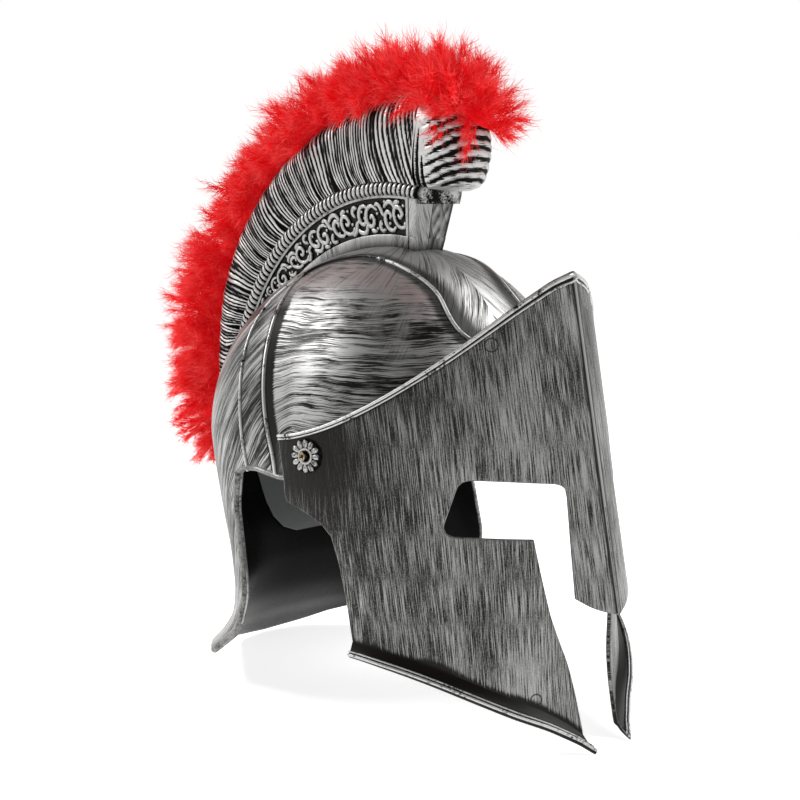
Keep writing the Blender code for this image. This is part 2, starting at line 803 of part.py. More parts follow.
def build_crest_mane(collection, parent):
    finish = make_material("mane_silver", (0.30, 0.30, 0.28), 0.45, 0.85)
    bm = bmesh.new()
    loft(bm, mane_sections(0.0))
    return object_from(bm, "crest_mane", collection, finish, parent)


def plume_value(angle, name):
    angles = column(PLUME_ROWS, PLUME_COLUMNS, "angle")
    return smooth_value(angles, column(PLUME_ROWS, PLUME_COLUMNS, name), angle)


def add_lock(bm, root, tip, width):
    """One pointed lock of feather: a bent, tapering cone of eight sides."""
    axis = tip - root
    side = Vector((1.0, 0.0, 0.0))
    across = axis.cross(side).normalized()
    side = across.cross(axis).normalized()
    rings = []
    for t, swell in LOCK_SHAPE:
        centre = root + axis * t
        ring = []
        for i in range(8):
            a = 2.0 * math.pi * i / 8
            spoke = side * math.cos(a) + across * math.sin(a) * 0.8
            ring.append(bm.verts.new(centre + spoke * width * swell))
        rings.append(ring)
    for near, far in zip(rings, rings[1:]):
        for i in range(8):
            j = (i + 1) % 8
            bm.faces.new((near[i], near[j], far[j], far[i]))
    bm.faces.new(list(reversed(rings[0])))
    bm.faces.new(rings[-1])


def plume_root(angle):
    return mane_value(max(angle, MANE_ROWS[0][0]), "radius") + PLUME_LIFT


def build_plume(collection, guides, parent):
    finish = make_material("red_feather", (0.62, 0.02, 0.03), 0.9, 0.0)
    bm = bmesh.new()
    rng = random.Random(7)
    first = PLUME_ROWS[0][0]
    last = PLUME_ROWS[-1][0]
    backing = []
    for i in range(PLUME_STATIONS):
        angle = first + (last - first) * i / (PLUME_STATIONS - 1)
        ring = []
        for k in range(8):
            a = 2.0 * math.pi * k / 8
            radius = plume_root(angle) + PLUME_BACKING_RISE * math.cos(a)
            ring.append(crest_point(angle, radius, PLUME_BACKING_HALF * math.sin(a)))
        backing.append(ring)
    loft(bm, backing)
    for i in range(PLUME_LOCKS):
        angle = first + (last - first) * i / (PLUME_LOCKS - 1)
        outer = plume_value(angle, "radius")
        half = plume_value(angle, "half_width")
        for lean, reach in LOCK_LEANS:
            spread = rng.uniform(-2.0, 2.0)
            root = crest_point(angle, plume_root(angle), lean * LOCK_ROOT_HALF)
            length = plume_root(angle) + (outer - plume_root(angle)) * reach
            length += rng.uniform(-0.003, 0.002)
            tip = crest_point(angle + spread + LOCK_TRAIL, length, lean * half)
            add_lock(bm, root, tip, LOCK_WIDTH)
    bmesh.ops.recalc_face_normals(bm, faces=bm.faces)
    plume = object_from(bm, "plume", collection, finish, parent)
    fuse = plume.modifiers.new("fuse_locks", "REMESH")
    fuse.mode = "VOXEL"
    fuse.voxel_size = PLUME_VOXEL
    bm = bmesh.new()
    loft(bm, mane_sections(2.0 * GAP))
    room = object_from(bm, "room_for_mane", guides, None, parent)
    hide_guide(room)
    add_boolean(plume, room, "DIFFERENCE")
    return plume


def build_rosette(name, sign, collection, parent):
    """Petalled washer: rings of a lobed outline, from its flat back to its crown."""
    finish = make_material("rosette_silver", (0.55, 0.55, 0.52), 0.35, 0.95)
    bm = bmesh.new()
    sides = ROSETTE_PETALS * 2
    hole = ROSETTE_HOLE
    stages = (
        (hole, 0.0, 0.0),
        (ROSETTE_RADIUS * 0.90, 0.0, 0.09),
        (ROSETTE_RADIUS * 0.92, ROSETTE_RIM, 0.09),
        (ROSETTE_RADIUS * 0.70, ROSETTE_CROWN, 0.05),
        (ROSETTE_RADIUS * 0.40, ROSETTE_RIM, 0.0),
        (hole, ROSETTE_RIM, 0.0),
    )
    rings = []
    for radius, height, lobe in stages:
        ring = []
        for i in range(sides):
            a = 2.0 * math.pi * i / sides
            r = radius * (1.0 + lobe * math.cos(ROSETTE_PETALS * a))
            ring.append(bm.verts.new((sign * height, r * math.cos(a), r * math.sin(a))))
        rings.append(ring)
    for near, far in zip(rings, rings[1:] + rings[:1]):
        for i in range(sides):
            j = (i + 1) % sides
            bm.faces.new((near[i], near[j], far[j], far[i]))
    bmesh.ops.recalc_face_normals(bm, faces=bm.faces)
    rosette = object_from(bm, name, collection, finish, parent)
    rosette.location = (sign * ROSETTE_X, PIVOT_Y, PIVOT_Z)
    rosette.rotation_euler = (0.0, 0.0, sign * math.radians(-ROSETTE_TILT))
    return rosette


def build_rivet(name, sign, collection, parent):
    """Brass eyelet: a tube through the rosette, the plate and the boss, rolled at both ends."""
    finish = make_material("brass", (0.62, 0.48, 0.22), 0.3, 1.0)
    outer = RIVET_OUTER_X
    inner = RIVET_INNER_X
    stages = (
        (RIVET_BORE, inner - 0.0008),
        (RIVET_FLANGE, inner - 0.0008),
        (RIVET_FLANGE, inner),
        (RIVET_RADIUS, inner),
        (RIVET_RADIUS, outer),
        (RIVET_FLANGE, outer),
        (RIVET_FLANGE * 0.86, outer + 0.0008),
        (RIVET_BORE * 1.3, outer + 0.0008),
        (RIVET_BORE, outer + 0.0003),
    )
    bm = bmesh.new()
    sides = 12
    rings = []
    for radius, x in stages:
        ring = []
        for i in range(sides):
            a = 2.0 * math.pi * i / sides
            ring.append(bm.verts.new((sign * x, radius * math.cos(a), radius * math.sin(a))))
        rings.append(ring)
    for near, far in zip(rings, rings[1:] + rings[:1]):
        for i in range(sides):
            j = (i + 1) % sides
            bm.faces.new((near[i], near[j], far[j], far[i]))
    bmesh.ops.recalc_face_normals(bm, faces=bm.faces)
    rivet = object_from(bm, name, collection, finish, parent)
    rivet.location = (0.0, PIVOT_Y, PIVOT_Z)
    return rivet


def inner_wall_y(x, z):
    """Back inner wall of the shell at x and z."""
    half, _, back = shell_reach(z)
    inside_half = half - SHELL_WALL
    inside_back = back - SHELL_WALL * 1.03
    share = 1.0 - (abs(x) / inside_half) ** SKULL_ROUNDNESS
    return inside_back * share ** (1.0 / SKULL_ROUNDNESS)


def build_inner_label(collection, parent):
    finish = make_material("plain_label", (0.55, 0.55, 0.53), 0.5, 0.0)
    bm = bmesh.new()
    across = 7
    rows = []
    corner = 0.020
    for k in range(8):
        z = LABEL_LOW_Z + (LABEL_HIGH_Z - LABEL_LOW_Z) * (k / 7.0) ** 1.5
        rise = min(z - LABEL_LOW_Z, corner)
        half = LABEL_HALF_WIDTH - corner + math.sqrt(corner**2 - (corner - rise) ** 2)
        half = max(half, 0.010)
        row = []
        for i in range(across):
            x = half * (2.0 * i / (across - 1) - 1.0)
            y = inner_wall_y(x, z) - LABEL_STANDOFF - LABEL_THICKNESS
            row.append(bm.verts.new((x, y, z)))
        rows.append(row)
    for low, high in zip(rows, rows[1:]):
        for i in range(across - 1):
            bm.faces.new((low[i + 1], high[i + 1], high[i], low[i]))
    bmesh.ops.recalc_face_normals(bm, faces=bm.faces)
    label = object_from(bm, "inner_label", collection, finish, parent)
    add_solidify(label, LABEL_THICKNESS, 0.0)
    return label


def build_helmet():
    clear_scene()
    helmet = new_collection("gladiator_helmet")
    guides = new_collection("guides")
    root = bpy.data.objects.new("helmet_centre", None)
    root.location = (0.0, BACK_SHIFT, FLOOR_LIFT)
    helmet.objects.link(root)
    shell = build_skull_shell(helmet, guides, root)
    visor = build_visor(helmet, guides, root)
    build_crest_plinth(helmet, root)
    build_crest_mane(helmet, root)
    build_plume(helmet, guides, root)
    for side, sign in (("left", 1.0), ("right", -1.0)):
        build_rosette("rosette_" + side, sign, helmet, root)
        rivet = build_rivet("rivet_" + side, sign, helmet, root)
        shade(rivet)
    build_inner_label(helmet, root)
    shade(shell)
    shade(visor)


build_helmet()
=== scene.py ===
"""Gladiator helmet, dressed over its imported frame: a dry-brushed silver skull and face plate,
a moulded crest with a scroll panel and a combed mane, and a trim of red marabou.
"""

import json
import math
import random

import bmesh
import bpy
import numpy as np
from mathutils import Matrix, Vector

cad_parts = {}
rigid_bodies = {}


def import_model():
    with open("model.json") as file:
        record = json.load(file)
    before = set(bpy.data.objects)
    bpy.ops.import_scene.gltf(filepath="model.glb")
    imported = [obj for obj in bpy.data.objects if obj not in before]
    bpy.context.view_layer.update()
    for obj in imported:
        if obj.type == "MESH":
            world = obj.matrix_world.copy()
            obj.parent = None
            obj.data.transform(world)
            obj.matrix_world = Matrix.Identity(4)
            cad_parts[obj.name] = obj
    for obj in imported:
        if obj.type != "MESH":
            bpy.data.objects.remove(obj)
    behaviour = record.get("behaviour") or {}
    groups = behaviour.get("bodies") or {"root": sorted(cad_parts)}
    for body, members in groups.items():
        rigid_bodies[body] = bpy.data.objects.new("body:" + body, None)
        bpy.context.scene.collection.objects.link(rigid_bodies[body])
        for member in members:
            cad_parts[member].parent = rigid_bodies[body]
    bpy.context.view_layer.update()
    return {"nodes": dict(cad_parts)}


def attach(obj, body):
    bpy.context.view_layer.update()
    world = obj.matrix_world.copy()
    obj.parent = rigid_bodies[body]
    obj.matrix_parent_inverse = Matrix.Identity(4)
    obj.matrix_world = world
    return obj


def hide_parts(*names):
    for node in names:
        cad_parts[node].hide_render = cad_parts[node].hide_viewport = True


for leftover in list(bpy.data.objects):
    bpy.data.objects.remove(leftover, do_unlink=True)
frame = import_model()


# The skull: one black plastic moulding, a dome that draws in at the nape and flares into a
# neck guard. Silver paint is dry-brushed over it, its beads are rubbed bright, and its inside
# stays bare and glossy.
HELMET_CENTRE = (0.0, -0.0290, 0.0007)
SKULL_HALF_WIDTH = 0.097
SKULL_FRONT = 0.0925
SKULL_BACK = 0.1218
SKULL_MID_Z = 0.147
SKULL_RISE = 0.1094
SKULL_ROUNDNESS = 2.35
SHELL_WALL = 0.0024
SILVER = (0.42, 0.42, 0.41)
SILVER_BRIGHT = (0.55, 0.55, 0.54)
BLACK = (0.008, 0.008, 0.007)

NECK_COLUMNS = ("z", "half_width", "back")
NECK_ROWS = (
    (-0.012, 0.1080, 0.1500),
    (0.000, 0.1070, 0.1400),
    (0.013, 0.1055, 0.1250),
    (0.028, 0.1025, 0.1060),
    (0.043, 0.1000, 0.0925),
    (0.058, 0.0995, 0.0884),
    (0.076, 0.0992, 0.0920),
    (0.108, 0.0980, 0.1076),
    (0.130, 0.0972, 0.1170),
    (0.147, 0.0970, 0.1218),
)

# Lower edge of the skull seen from the side: y, z, corner radius, in three runs
NECK_RIM = (
    (0.1415, 0.0014, 0.0),
    (0.1385, 0.0019, 0.0),
    (0.1320, 0.0050, 0.0),
    (0.1220, 0.0100, 0.0),
    (0.1060, 0.0155, 0.0),
    (0.0880, 0.0180, 0.0),
    (0.0720, 0.0190, 0.0),
)
GUARD_FRONT = (
    (0.0720, 0.0190, 0.0),
    (0.0400, 0.0380, 0.022),
    (0.0270, 0.0640, 0.030),
    (0.0370, 0.1130, 0.030),
    (0.0341, 0.1311, 0.0),
)
EAR_TO_FOREHEAD = (
    (0.0341, 0.1311, 0.0),
    (0.0300, 0.1338, 0.004),
    (0.0160, 0.1352, 0.010),
    (-0.0050, 0.1330, 0.006),
    (-0.0350, 0.1380, 0.010),
    (-0.0700, 0.1660, 0.020),
    (-0.0925, 0.1670, 0.0),
)

PANEL_BEAD = (
    (-0.0006, 0.1350), (0.0024, 0.1480), (0.0110, 0.1700), (0.0195, 0.1930),
    (0.0260, 0.2110), (0.0320, 0.2260), (0.0345, 0.2390), (0.0220, 0.2470),
    (-0.0030, 0.2505), (-0.0300, 0.2455), (-0.0535, 0.2325), (-0.0750, 0.2080),
)
NAPE_BEAD = (
    (0.0250, 0.1340), (0.0290, 0.1460), (0.0360, 0.1710), (0.0440, 0.1940),
    (0.0487, 0.2110), (0.0470, 0.2250), (0.0356, 0.2405),
)
# Profile of the rolled edge, in from the edge and out from the wall
EDGE_ROLL = (
    (0.0, -0.0006), (0.0, 0.0), (0.0006, 0.0010), (0.0018, 0.0014), (0.0032, 0.0013), (0.0042, 0.0008),
    (0.0048, 0.0), (0.0048, -0.0006),
)


def column(rows, names, name):
    index = names.index(name)
    return np.array([row[index] for row in rows], float)


def smooth_value(knots, values, at):
    """Values at places along a smooth curve through knots; past the ends it stays level."""
    knots = np.asarray(knots, float)
    values = np.asarray(values, float)
    slopes = np.gradient(values, knots)
    at = np.clip(np.asarray(at, float), knots[0], knots[-1])
    i = np.clip(np.searchsorted(knots, at) - 1, 0, len(knots) - 2)
    width = knots[i + 1] - knots[i]
    t = (at - knots[i]) / width
    start = (1.0 + 2.0 * t) * (1.0 - t) ** 2 * values[i] + t * (1.0 - t) ** 2 * width * slopes[i]
    end = t * t * (3.0 - 2.0 * t) * values[i + 1] + t * t * (t - 1.0) * width * slopes[i + 1]
    return start + end


def rounded_line(corners, steps=7):
    """Open line through (y, z, radius) corners, each radius turned as an arc."""
    points = [np.array(corners[0][:2])]
    for before, here, after in zip(corners, corners[1:], corners[2:]):
        corner = Vector(here[:2])
        if here[2] <= 0.0:
            points.append(np.array(corner))
            continue
        back = (Vector(before[:2]) - corner).normalized()
        ahead = (Vector(after[:2]) - corner).normalized()
        turn = back.angle(ahead)
        reach = here[2] / math.tan(turn / 2.0)
        centre = corner + (back + ahead).normalized() * (here[2] / math.sin(turn / 2.0))
        for step in range(steps + 1):
            spoke = (corner + back * reach - centre).lerp(corner + ahead * reach - centre, step / steps)
            points.append(np.array(centre + spoke.normalized() * here[2]))
    points.append(np.array(corners[-1][:2]))
    return points


def evenly(points, count):
    """The same line in count equal steps."""
    points = np.array(points, float)
    spans = np.linalg.norm(np.diff(points, axis=0), axis=1)
    marks = np.concatenate(([0.0], np.cumsum(spans)))
    places = np.linspace(0.0, marks[-1], count + 1)
    return np.stack([np.interp(places, marks, points[:, k]) for k in range(points.shape[1])], axis=1)


def smooth_line(points, steps):
    """Smooth line through points, with the same number of steps between each two."""
    points = np.array(points, float)
    marks = np.arange(len(points), dtype=float)
    at = np.linspace(0.0, marks[-1], steps + 1)
    return np.stack([smooth_value(marks, points[:, k], at) for k in range(points.shape[1])], axis=1)


def coons(floor, roof, front, rear):
    """Grid of points that fills four lines which meet at their ends, floor row first."""
    floor, roof, front, rear = (np.array(line, float) for line in (floor, roof, front, rear))
    u = np.linspace(0.0, 1.0, len(floor))[None, :, None]
    v = np.linspace(0.0, 1.0, len(front))[:, None, None]
    ruled = (1.0 - v) * floor[None] + v * roof[None] + (1.0 - u) * front[:, None] + u * rear[:, None]
    corners = (1.0 - v) * ((1.0 - u) * floor[0] + u * floor[-1]) + v * ((1.0 - u) * roof[0] + u * roof[-1])
    return ruled - corners


def grid_faces(rows, columns, start=0):
    first = start + np.arange(rows - 1)[:, None] * columns + np.arange(columns - 1)[None, :]
    return np.stack([first, first + 1, first + columns + 1, first + columns], axis=-1).reshape(-1, 4)


def tube_faces(stations, around, closed=False, capped=False):
    """Quads of a tube of rings. Closed joins the last ring to the first, capped fills both ends."""
    faces = []
    for station in range(stations if closed else stations - 1):
        here, ahead = station * around, (station + 1) % stations * around
        for k in range(around):
            onward = (k + 1) % around
            faces.append((here + k, ahead + k, ahead + onward, here + onward))
    if capped:
        faces += [tuple(range(around)), tuple(range((stations - 1) * around, stations * around))]
    return faces


def new_piece(name, points, faces, fields=None, uv=None, centre=HELMET_CENTRE):
    """Mesh object in the helmet's place. Each named field gives its points one number or one vector."""
    mesh = bpy.data.meshes.new(name)
    placed = np.asarray(points, float) + np.array(centre)
    mesh.from_pydata(placed.tolist(), [], [list(map(int, face)) for face in faces])
    for field_name, values in (fields or {}).items():
        values = np.asarray(values, np.float32)
        kind, key = ("FLOAT", "value") if values.ndim == 1 else ("FLOAT_VECTOR", "vector")
        mesh.attributes.new(field_name, kind, "POINT").data.foreach_set(key, values.ravel())
    if uv is not None:
        layer = mesh.uv_layers.new(name="brushing")
        corner = np.zeros(len(mesh.loops), np.int32)
        mesh.loops.foreach_get("vertex_index", corner)
        layer.data.foreach_set("uv", np.asarray(uv, np.float32)[corner].ravel())
    piece = bpy.data.objects.new(name, mesh)
    bpy.context.scene.collection.objects.link(piece)
    return piece


def turn_outward(piece, centre=None):
    """Merge doubles, then point the faces out: away from a centre where the piece is an open skin."""
    bm = bmesh.new()
    bm.from_mesh(piece.data)
    bmesh.ops.remove_doubles(bm, verts=bm.verts, dist=0.00002)
    bmesh.ops.recalc_face_normals(bm, faces=bm.faces)
    if centre is not None:
        away = sum((f.calc_center_median() - Vector(centre)).dot(f.normal) * f.calc_area() for f in bm.faces)
        if away < 0.0:
            bmesh.ops.reverse_faces(bm, faces=bm.faces)
    bm.to_mesh(piece.data)
    bm.free()


def finished(piece, sharp=35.0):
    """Make the piece's modifiers real and shade it, sharp only across true corners."""
    bpy.context.view_layer.update()
    graph = bpy.context.evaluated_depsgraph_get()
    mesh = bpy.data.meshes.new_from_object(piece.evaluated_get(graph), depsgraph=graph)
    piece.modifiers.clear()
    piece.data = mesh
    mesh.shade_smooth()
    mesh.set_sharp_from_angle(angle=math.radians(sharp))


def add_wall(skin, thickness, rim_width, rim_angle, sharp):
    """Give an open skin its wall, bare inside (second finish), and a worn rim (fourth finish)."""
    wall = skin.modifiers.new("wall", "SOLIDIFY")
    wall.thickness = thickness
    wall.offset = -1.0
    wall.use_even_offset = True
    wall.material_offset = 1
    rim = skin.modifiers.new("rim", "BEVEL")
    rim.width = rim_width
    rim.segments = 2
    rim.limit_method = "ANGLE"
    rim.angle_limit = math.radians(rim_angle)
    rim.material = 3
    finished(skin, sharp)


def join_beads(skin, beads):
    """Join beads to their skin; rolled edges take its fourth finish and the others its third."""
    for bead in beads:
        turn_outward(bead)
        bead.data.shade_smooth()
        for finish in skin.data.materials:
            bead.data.materials.append(finish)
        rolled = bead.name.startswith(("guard", "ear"))
        for face in bead.data.polygons:
            face.material_index = 3 if rolled else 2
    with bpy.context.temp_override(active_object=skin, selected_editable_objects=[skin, *beads]):
        bpy.ops.object.join()


def run_profile(path, outward, profile):
    """Points and faces of a closed strip: (across, out) profile points carried along a path.
    The profile may be one list, or one list for each point of the path."""
    path = np.asarray(path, float)
    outward = np.asarray(outward, float)
    outward = outward / np.linalg.norm(outward, axis=1)[:, None]
    across = np.cross(np.gradient(path, axis=0), outward)
    across = across / np.linalg.norm(across, axis=1)[:, None]
    shape = np.asarray(profile, float)
    if shape.ndim == 2:
        shape = np.repeat(shape[None], len(path), axis=0)
    points = path[:, None] + across[:, None] * shape[..., :1] + outward[:, None] * shape[..., 1:]
    return points.reshape(-1, 3), tube_faces(*shape.shape[:2], capped=True)


def half_round(width, rise, foot=0.0006):
    """Profile of a moulded bead with its foot sunk into the wall."""
    angles = np.radians(np.linspace(0.0, 180.0, 7))
    arch = [(width / 2.0 * math.cos(a), rise * math.sin(a)) for a in angles]
    return arch + [(-width / 2.0, -foot), (width / 2.0, -foot)]


def shell_reach(z):
    z = np.asarray(z, float)
    lift = np.sqrt(np.clip(1.0 - ((z - SKULL_MID_Z) / SKULL_RISE) ** 2, 0.0, 1.0))
    neck_z = column(NECK_ROWS, NECK_COLUMNS, "z")
    half = smooth_value(neck_z, column(NECK_ROWS, NECK_COLUMNS, "half_width"), z)
    back = smooth_value(neck_z, column(NECK_ROWS, NECK_COLUMNS, "back"), z)
    above = z >= SKULL_MID_Z
    return (
        np.where(above, SKULL_HALF_WIDTH * lift, half),
        np.where(above, SKULL_FRONT * lift, SKULL_FRONT),
        np.where(above, SKULL_BACK * lift, back),
    )


def shell_turn(y, z):
    """Angle round the skull, a quarter turn at the back, of a point seen from the side."""
    y = np.asarray(y, float)
    _, front, back = shell_reach(z)
    share = np.clip(np.abs(y) / np.where(y > 0.0, back, front), 0.0, 1.0)
    return np.sign(y) * np.arcsin(share ** (SKULL_ROUNDNESS / 2.0))


def shell_place(turn, z):
    half, front, back = shell_reach(z)
    power = 2.0 / SKULL_ROUNDNESS
    c = np.clip(np.cos(turn), 0.0, 1.0)
    s = np.sin(turn)
    y = np.where(s > 0.0, back, front) * np.sign(s) * np.abs(s) ** power
    return np.stack([half * c**power, y, np.broadcast_to(z, np.shape(y))], axis=-1)


def climb(z):
    """Height measured along the skull's curve, so that rows are evenly spaced up to the crown."""
    lift = np.clip((np.asarray(z, float) - SKULL_MID_Z) / SKULL_RISE, 0.0, 1.0)
    return np.where(lift > 0.0, SKULL_MID_Z + SKULL_RISE * np.arcsin(lift), z)


def height_at(climbed):
    lift = (np.asarray(climbed, float) - SKULL_MID_Z) / SKULL_RISE
    return np.where(lift > 0.0, SKULL_MID_Z + SKULL_RISE * np.sin(np.clip(lift, 0.0, math.pi / 2.0)), climbed)


def off_line(places, line):
    """Distance of side-view places from a line, positive on its left."""
    places = np.asarray(places, float)
    best = np.full(len(places), 9.0)
    signed = np.zeros(len(places))
    for a, b in zip(line, line[1:]):
        run = b - a
        if run @ run == 0.0:
            continue
        t = np.clip(((places - a) @ run) / (run @ run), 0.0, 1.0)
        gap = places - (a + t[:, None] * run)
        far = np.linalg.norm(gap, axis=1)
        side = np.sign(run[0] * gap[:, 1] - run[1] * gap[:, 0])
        closer = far < best - 1e-9
        best = np.where(closer, far, best)
        signed = np.where(closer, side * far, signed)
    return signed


def skull_grids(front_steps, back_steps, rise_steps, guard_steps):
    """The two grids of the left half, dome and neck guard, as (turn, climbed height) points."""
    edge = evenly(rounded_line(EAR_TO_FOREHEAD), front_steps)[::-1]
    edge_turn = shell_turn(edge[:, 0], edge[:, 1])
    edge_turn[0] = -math.pi / 2.0
    waist_z = EAR_TO_FOREHEAD[0][1]
    waist_turn = np.linspace(edge_turn[-1], math.pi / 2.0, back_steps + 1)
    turns = np.concatenate((edge_turn, waist_turn[1:]))
    floor = np.concatenate((climb(edge[:, 1]), np.full(back_steps, waist_z)))
    top = SKULL_MID_Z + SKULL_RISE * math.pi / 2.0 * 0.985
    v = np.linspace(0.0, 1.0, rise_steps + 1)[:, None]
    climbed = floor + (top - floor) * v
    dome = np.stack([np.broadcast_to(turns, climbed.shape), climbed], axis=-1)
    rim = evenly(rounded_line(NECK_RIM), back_steps)[::-1]
    rim_turn = shell_turn(rim[:, 0], rim[:, 1])
    rim_turn[-1] = math.pi / 2.0
    front = evenly(rounded_line(GUARD_FRONT), guard_steps)
    front_line = np.stack([shell_turn(front[:, 0], front[:, 1]), front[:, 1]], axis=-1)
    rear_z = np.linspace(rim[-1, 1], waist_z, guard_steps + 1)
    rear_line = np.stack([np.full(guard_steps + 1, math.pi / 2.0), rear_z], axis=-1)
    floor_line = np.stack([rim_turn, rim[:, 1]], axis=-1)
    floor_line[0] = front_line[0]
    waist_line = np.stack([waist_turn, np.full(back_steps + 1, waist_z)], axis=-1)
    waist_line[0] = front_line[-1]
    return dome, coons(floor_line, waist_line, front_line, rear_line)


def away_from_rear_leg(seen):
    """0 beside the upright rear leg of the panel bead, rising to 1 along its top and front."""
    high = np.clip((seen[:, 1] - 0.222) / 0.014, 0.0, 1.0)
    ahead = np.clip((-0.002 - seen[:, 0]) / 0.010, 0.0, 1.0)
    return np.maximum(high, ahead)


def build_skull(front_steps, back_steps, rise_steps, guard_steps):
    points, faces, uv = [], [], []
    start = 0
    for number, grid in enumerate(skull_grids(front_steps, back_steps, rise_steps, guard_steps)):
        rows, columns = grid.shape[:2]
        place = shell_place(grid[..., 0], height_at(grid[..., 1])).reshape(-1, 3)
        for side in (1.0, -1.0):
            points.append(place * (side, 1.0, 1.0))
            faces += list(grid_faces(rows, columns, start))
            along = grid[..., 0].ravel() * 0.112 + (0.6 if side > 0.0 else 0.0)
            uv.append(np.stack([along, grid[..., 1].ravel()], axis=-1))
            start += rows * columns
        if number == 0:
            ring = [start - 2 * rows * columns + (rows - 1) * columns + i for i in range(columns)]
            ring += [start - columns + i for i in range(columns - 2, 0, -1)]
            points.append(np.array([[0.0, 0.0, SKULL_MID_Z + SKULL_RISE]]))
            uv.append(np.array([[0.3, 0.33]]))
            faces += [(ring[i], ring[(i + 1) % len(ring)], start) for i in range(len(ring))]
            start += 1
    points = np.concatenate(points)
    seen = points[:, 1:]
    panel_line = evenly(smooth_line(PANEL_BEAD, 200), 90)
    nape_line = evenly(smooth_line(NAPE_BEAD, 120), 60)
    edge_runs = (NECK_RIM, GUARD_FRONT, EAR_TO_FOREHEAD)
    edge_line = np.concatenate([np.array(rounded_line(run)) for run in edge_runs])
    fields = {
        "in_panel": off_line(seen, panel_line) * 1000.0,
        "off_rear_leg": away_from_rear_leg(seen),
        "behind_nape": -off_line(seen, nape_line) * 1000.0,
        "from_edge": np.abs(off_line(seen, edge_line)) * 1000.0,
    }
    return new_piece("skull_shell_brushed", points, faces, fields, np.concatenate(uv))


def on_shell(line, side):
    """Points and outward directions on the skull for a side-view line."""
    line = np.asarray(line, float)
    turn = shell_turn(line[:, 0], line[:, 1])
    place = shell_place(turn, line[:, 1])
    by_turn = shell_place(turn + 0.002, line[:, 1]) - shell_place(turn - 0.002, line[:, 1])
    by_rise = shell_place(turn, line[:, 1] + 0.0005) - shell_place(turn, line[:, 1] - 0.0005)
    outward = np.cross(by_turn, by_rise)
    mirror = np.array((side, 1.0, 1.0))
    return place * mirror, outward * mirror


def bead_piece(name, line, side, profile):
    """Bead along a side-view line of the skull, its silver worn off where it passes under the crest."""
    path, outward = on_shell(line, side)
    points, faces = run_profile(path, outward, profile)
    worn = np.clip((line[:, 1] - 0.2370) / 0.006, 0.0, 1.0) * np.clip((line[:, 0] + 0.022) / 0.012, 0.0, 1.0)
    return new_piece(name, points, faces, {"worn_off": np.repeat(worn, len(profile))})


def set_sockets(node, **sockets):
    """Set a node's inputs, given by name (spaces as _) or by number (s0, s1), to values or links."""
    for key, value in sockets.items():
        number = key[1:]
        by_number = key[0] == "s" and number.isdigit()
        socket = node.inputs[int(number) if by_number else key.replace("_", " ")]
        value = getattr(value, "socket", value)
        if isinstance(value, bpy.types.NodeSocket):
            node.id_data.links.new(value, socket)
        else:
            socket.default_value = value
    return node


def add_node(tree, kind, settings=None, **sockets):
    node = tree.nodes.new(kind)
    for key, value in (settings or {}).items():
        setattr(node, key, value)
    return set_sockets(node, **sockets)


def maths(operation, *values):
    tree = next(value.tree for value in values if isinstance(value, Signal))
    sockets = {"s%d" % place: value for place, value in enumerate(values)}
    return Signal(add_node(tree, "ShaderNodeMath", {"operation": operation}, **sockets).outputs[0])


class Signal:
    """An output of a node tree. Arithmetic on it adds the nodes that do it."""

    def __init__(self, socket):
        self.socket = socket
        self.tree = socket.id_data

    def __add__(self, other):
        return maths("ADD", self, other)

    def __sub__(self, other):
        return maths("SUBTRACT", self, other)

    def __rsub__(self, other):
        return maths("SUBTRACT", other, self)

    def __mul__(self, other):
        return maths("MULTIPLY", self, other)

    def __truediv__(self, other):
        return maths("DIVIDE", self, other)

    def __rtruediv__(self, other):
        return maths("DIVIDE", other, self)

    def __abs__(self):
        return maths("ABSOLUTE", self)

    def at_least(self, other):
        return maths("MAXIMUM", self, other)

    def ramp(self, low, high, start=0.0, end=1.0, way="LINEAR"):
        """From start to end as the value passes from low to high."""
        node = add_node(self.tree, "ShaderNodeMapRange", {"interpolation_type": way}, Value=self)
        set_sockets(node, From_Min=low, From_Max=high, To_Min=start, To_Max=end)
        return Signal(node.outputs[0])

    def step(self, low, high):
        """Smoothly from 0 to 1 as the value passes from low to high."""
        return self.ramp(low, high, way="SMOOTHSTEP")

    def between(self, first, second):
        """The first value where this is 0 and the second where it is 1."""
        return Signal(add_node(self.tree, "ShaderNodeMix", None, s0=self, s2=first, s3=second).outputs[0])


def blend_colours(share, first, second):
    node = add_node(share.tree, "ShaderNodeMix", {"data_type": "RGBA"}, s0=share)
    return set_sockets(node, s6=(*first, 1.0), s7=(*second, 1.0)).outputs[2]


def noise(place, scale, detail=2.0, roughness=0.5):
    sockets = {"Vector": place, "Scale": scale, "Detail": detail, "Roughness": roughness}
    return Signal(add_node(place.tree, "ShaderNodeTexNoise", None, **sockets).outputs["Fac"])


def object_place(tree):
    return Signal(add_node(tree, "ShaderNodeTexCoord").outputs["Object"])


def brushing_map(tree):
    return Signal(add_node(tree, "ShaderNodeUVMap", {"uv_map": "brushing"}).outputs["UV"])


def axes(place):
    split = add_node(place.tree, "ShaderNodeSeparateXYZ", None, Vector=place)
    return [Signal(socket) for socket in split.outputs]


def field(tree, name):
    return Signal(add_node(tree, "ShaderNodeAttribute", {"attribute_name": name}).outputs["Fac"])


def new_group(name, kind, inputs, outputs):
    """Node group with the given ends; inputs and outputs are (name, kind of socket)."""
    group = bpy.data.node_groups.new(name, kind)
    for way, ends in (("INPUT", inputs), ("OUTPUT", outputs)):
        for label, socket in ends:
            group.interface.new_socket(name=label, in_out=way, socket_type="NodeSocket" + socket)
    return group, group.nodes.new("NodeGroupInput"), group.nodes.new("NodeGroupOutput")


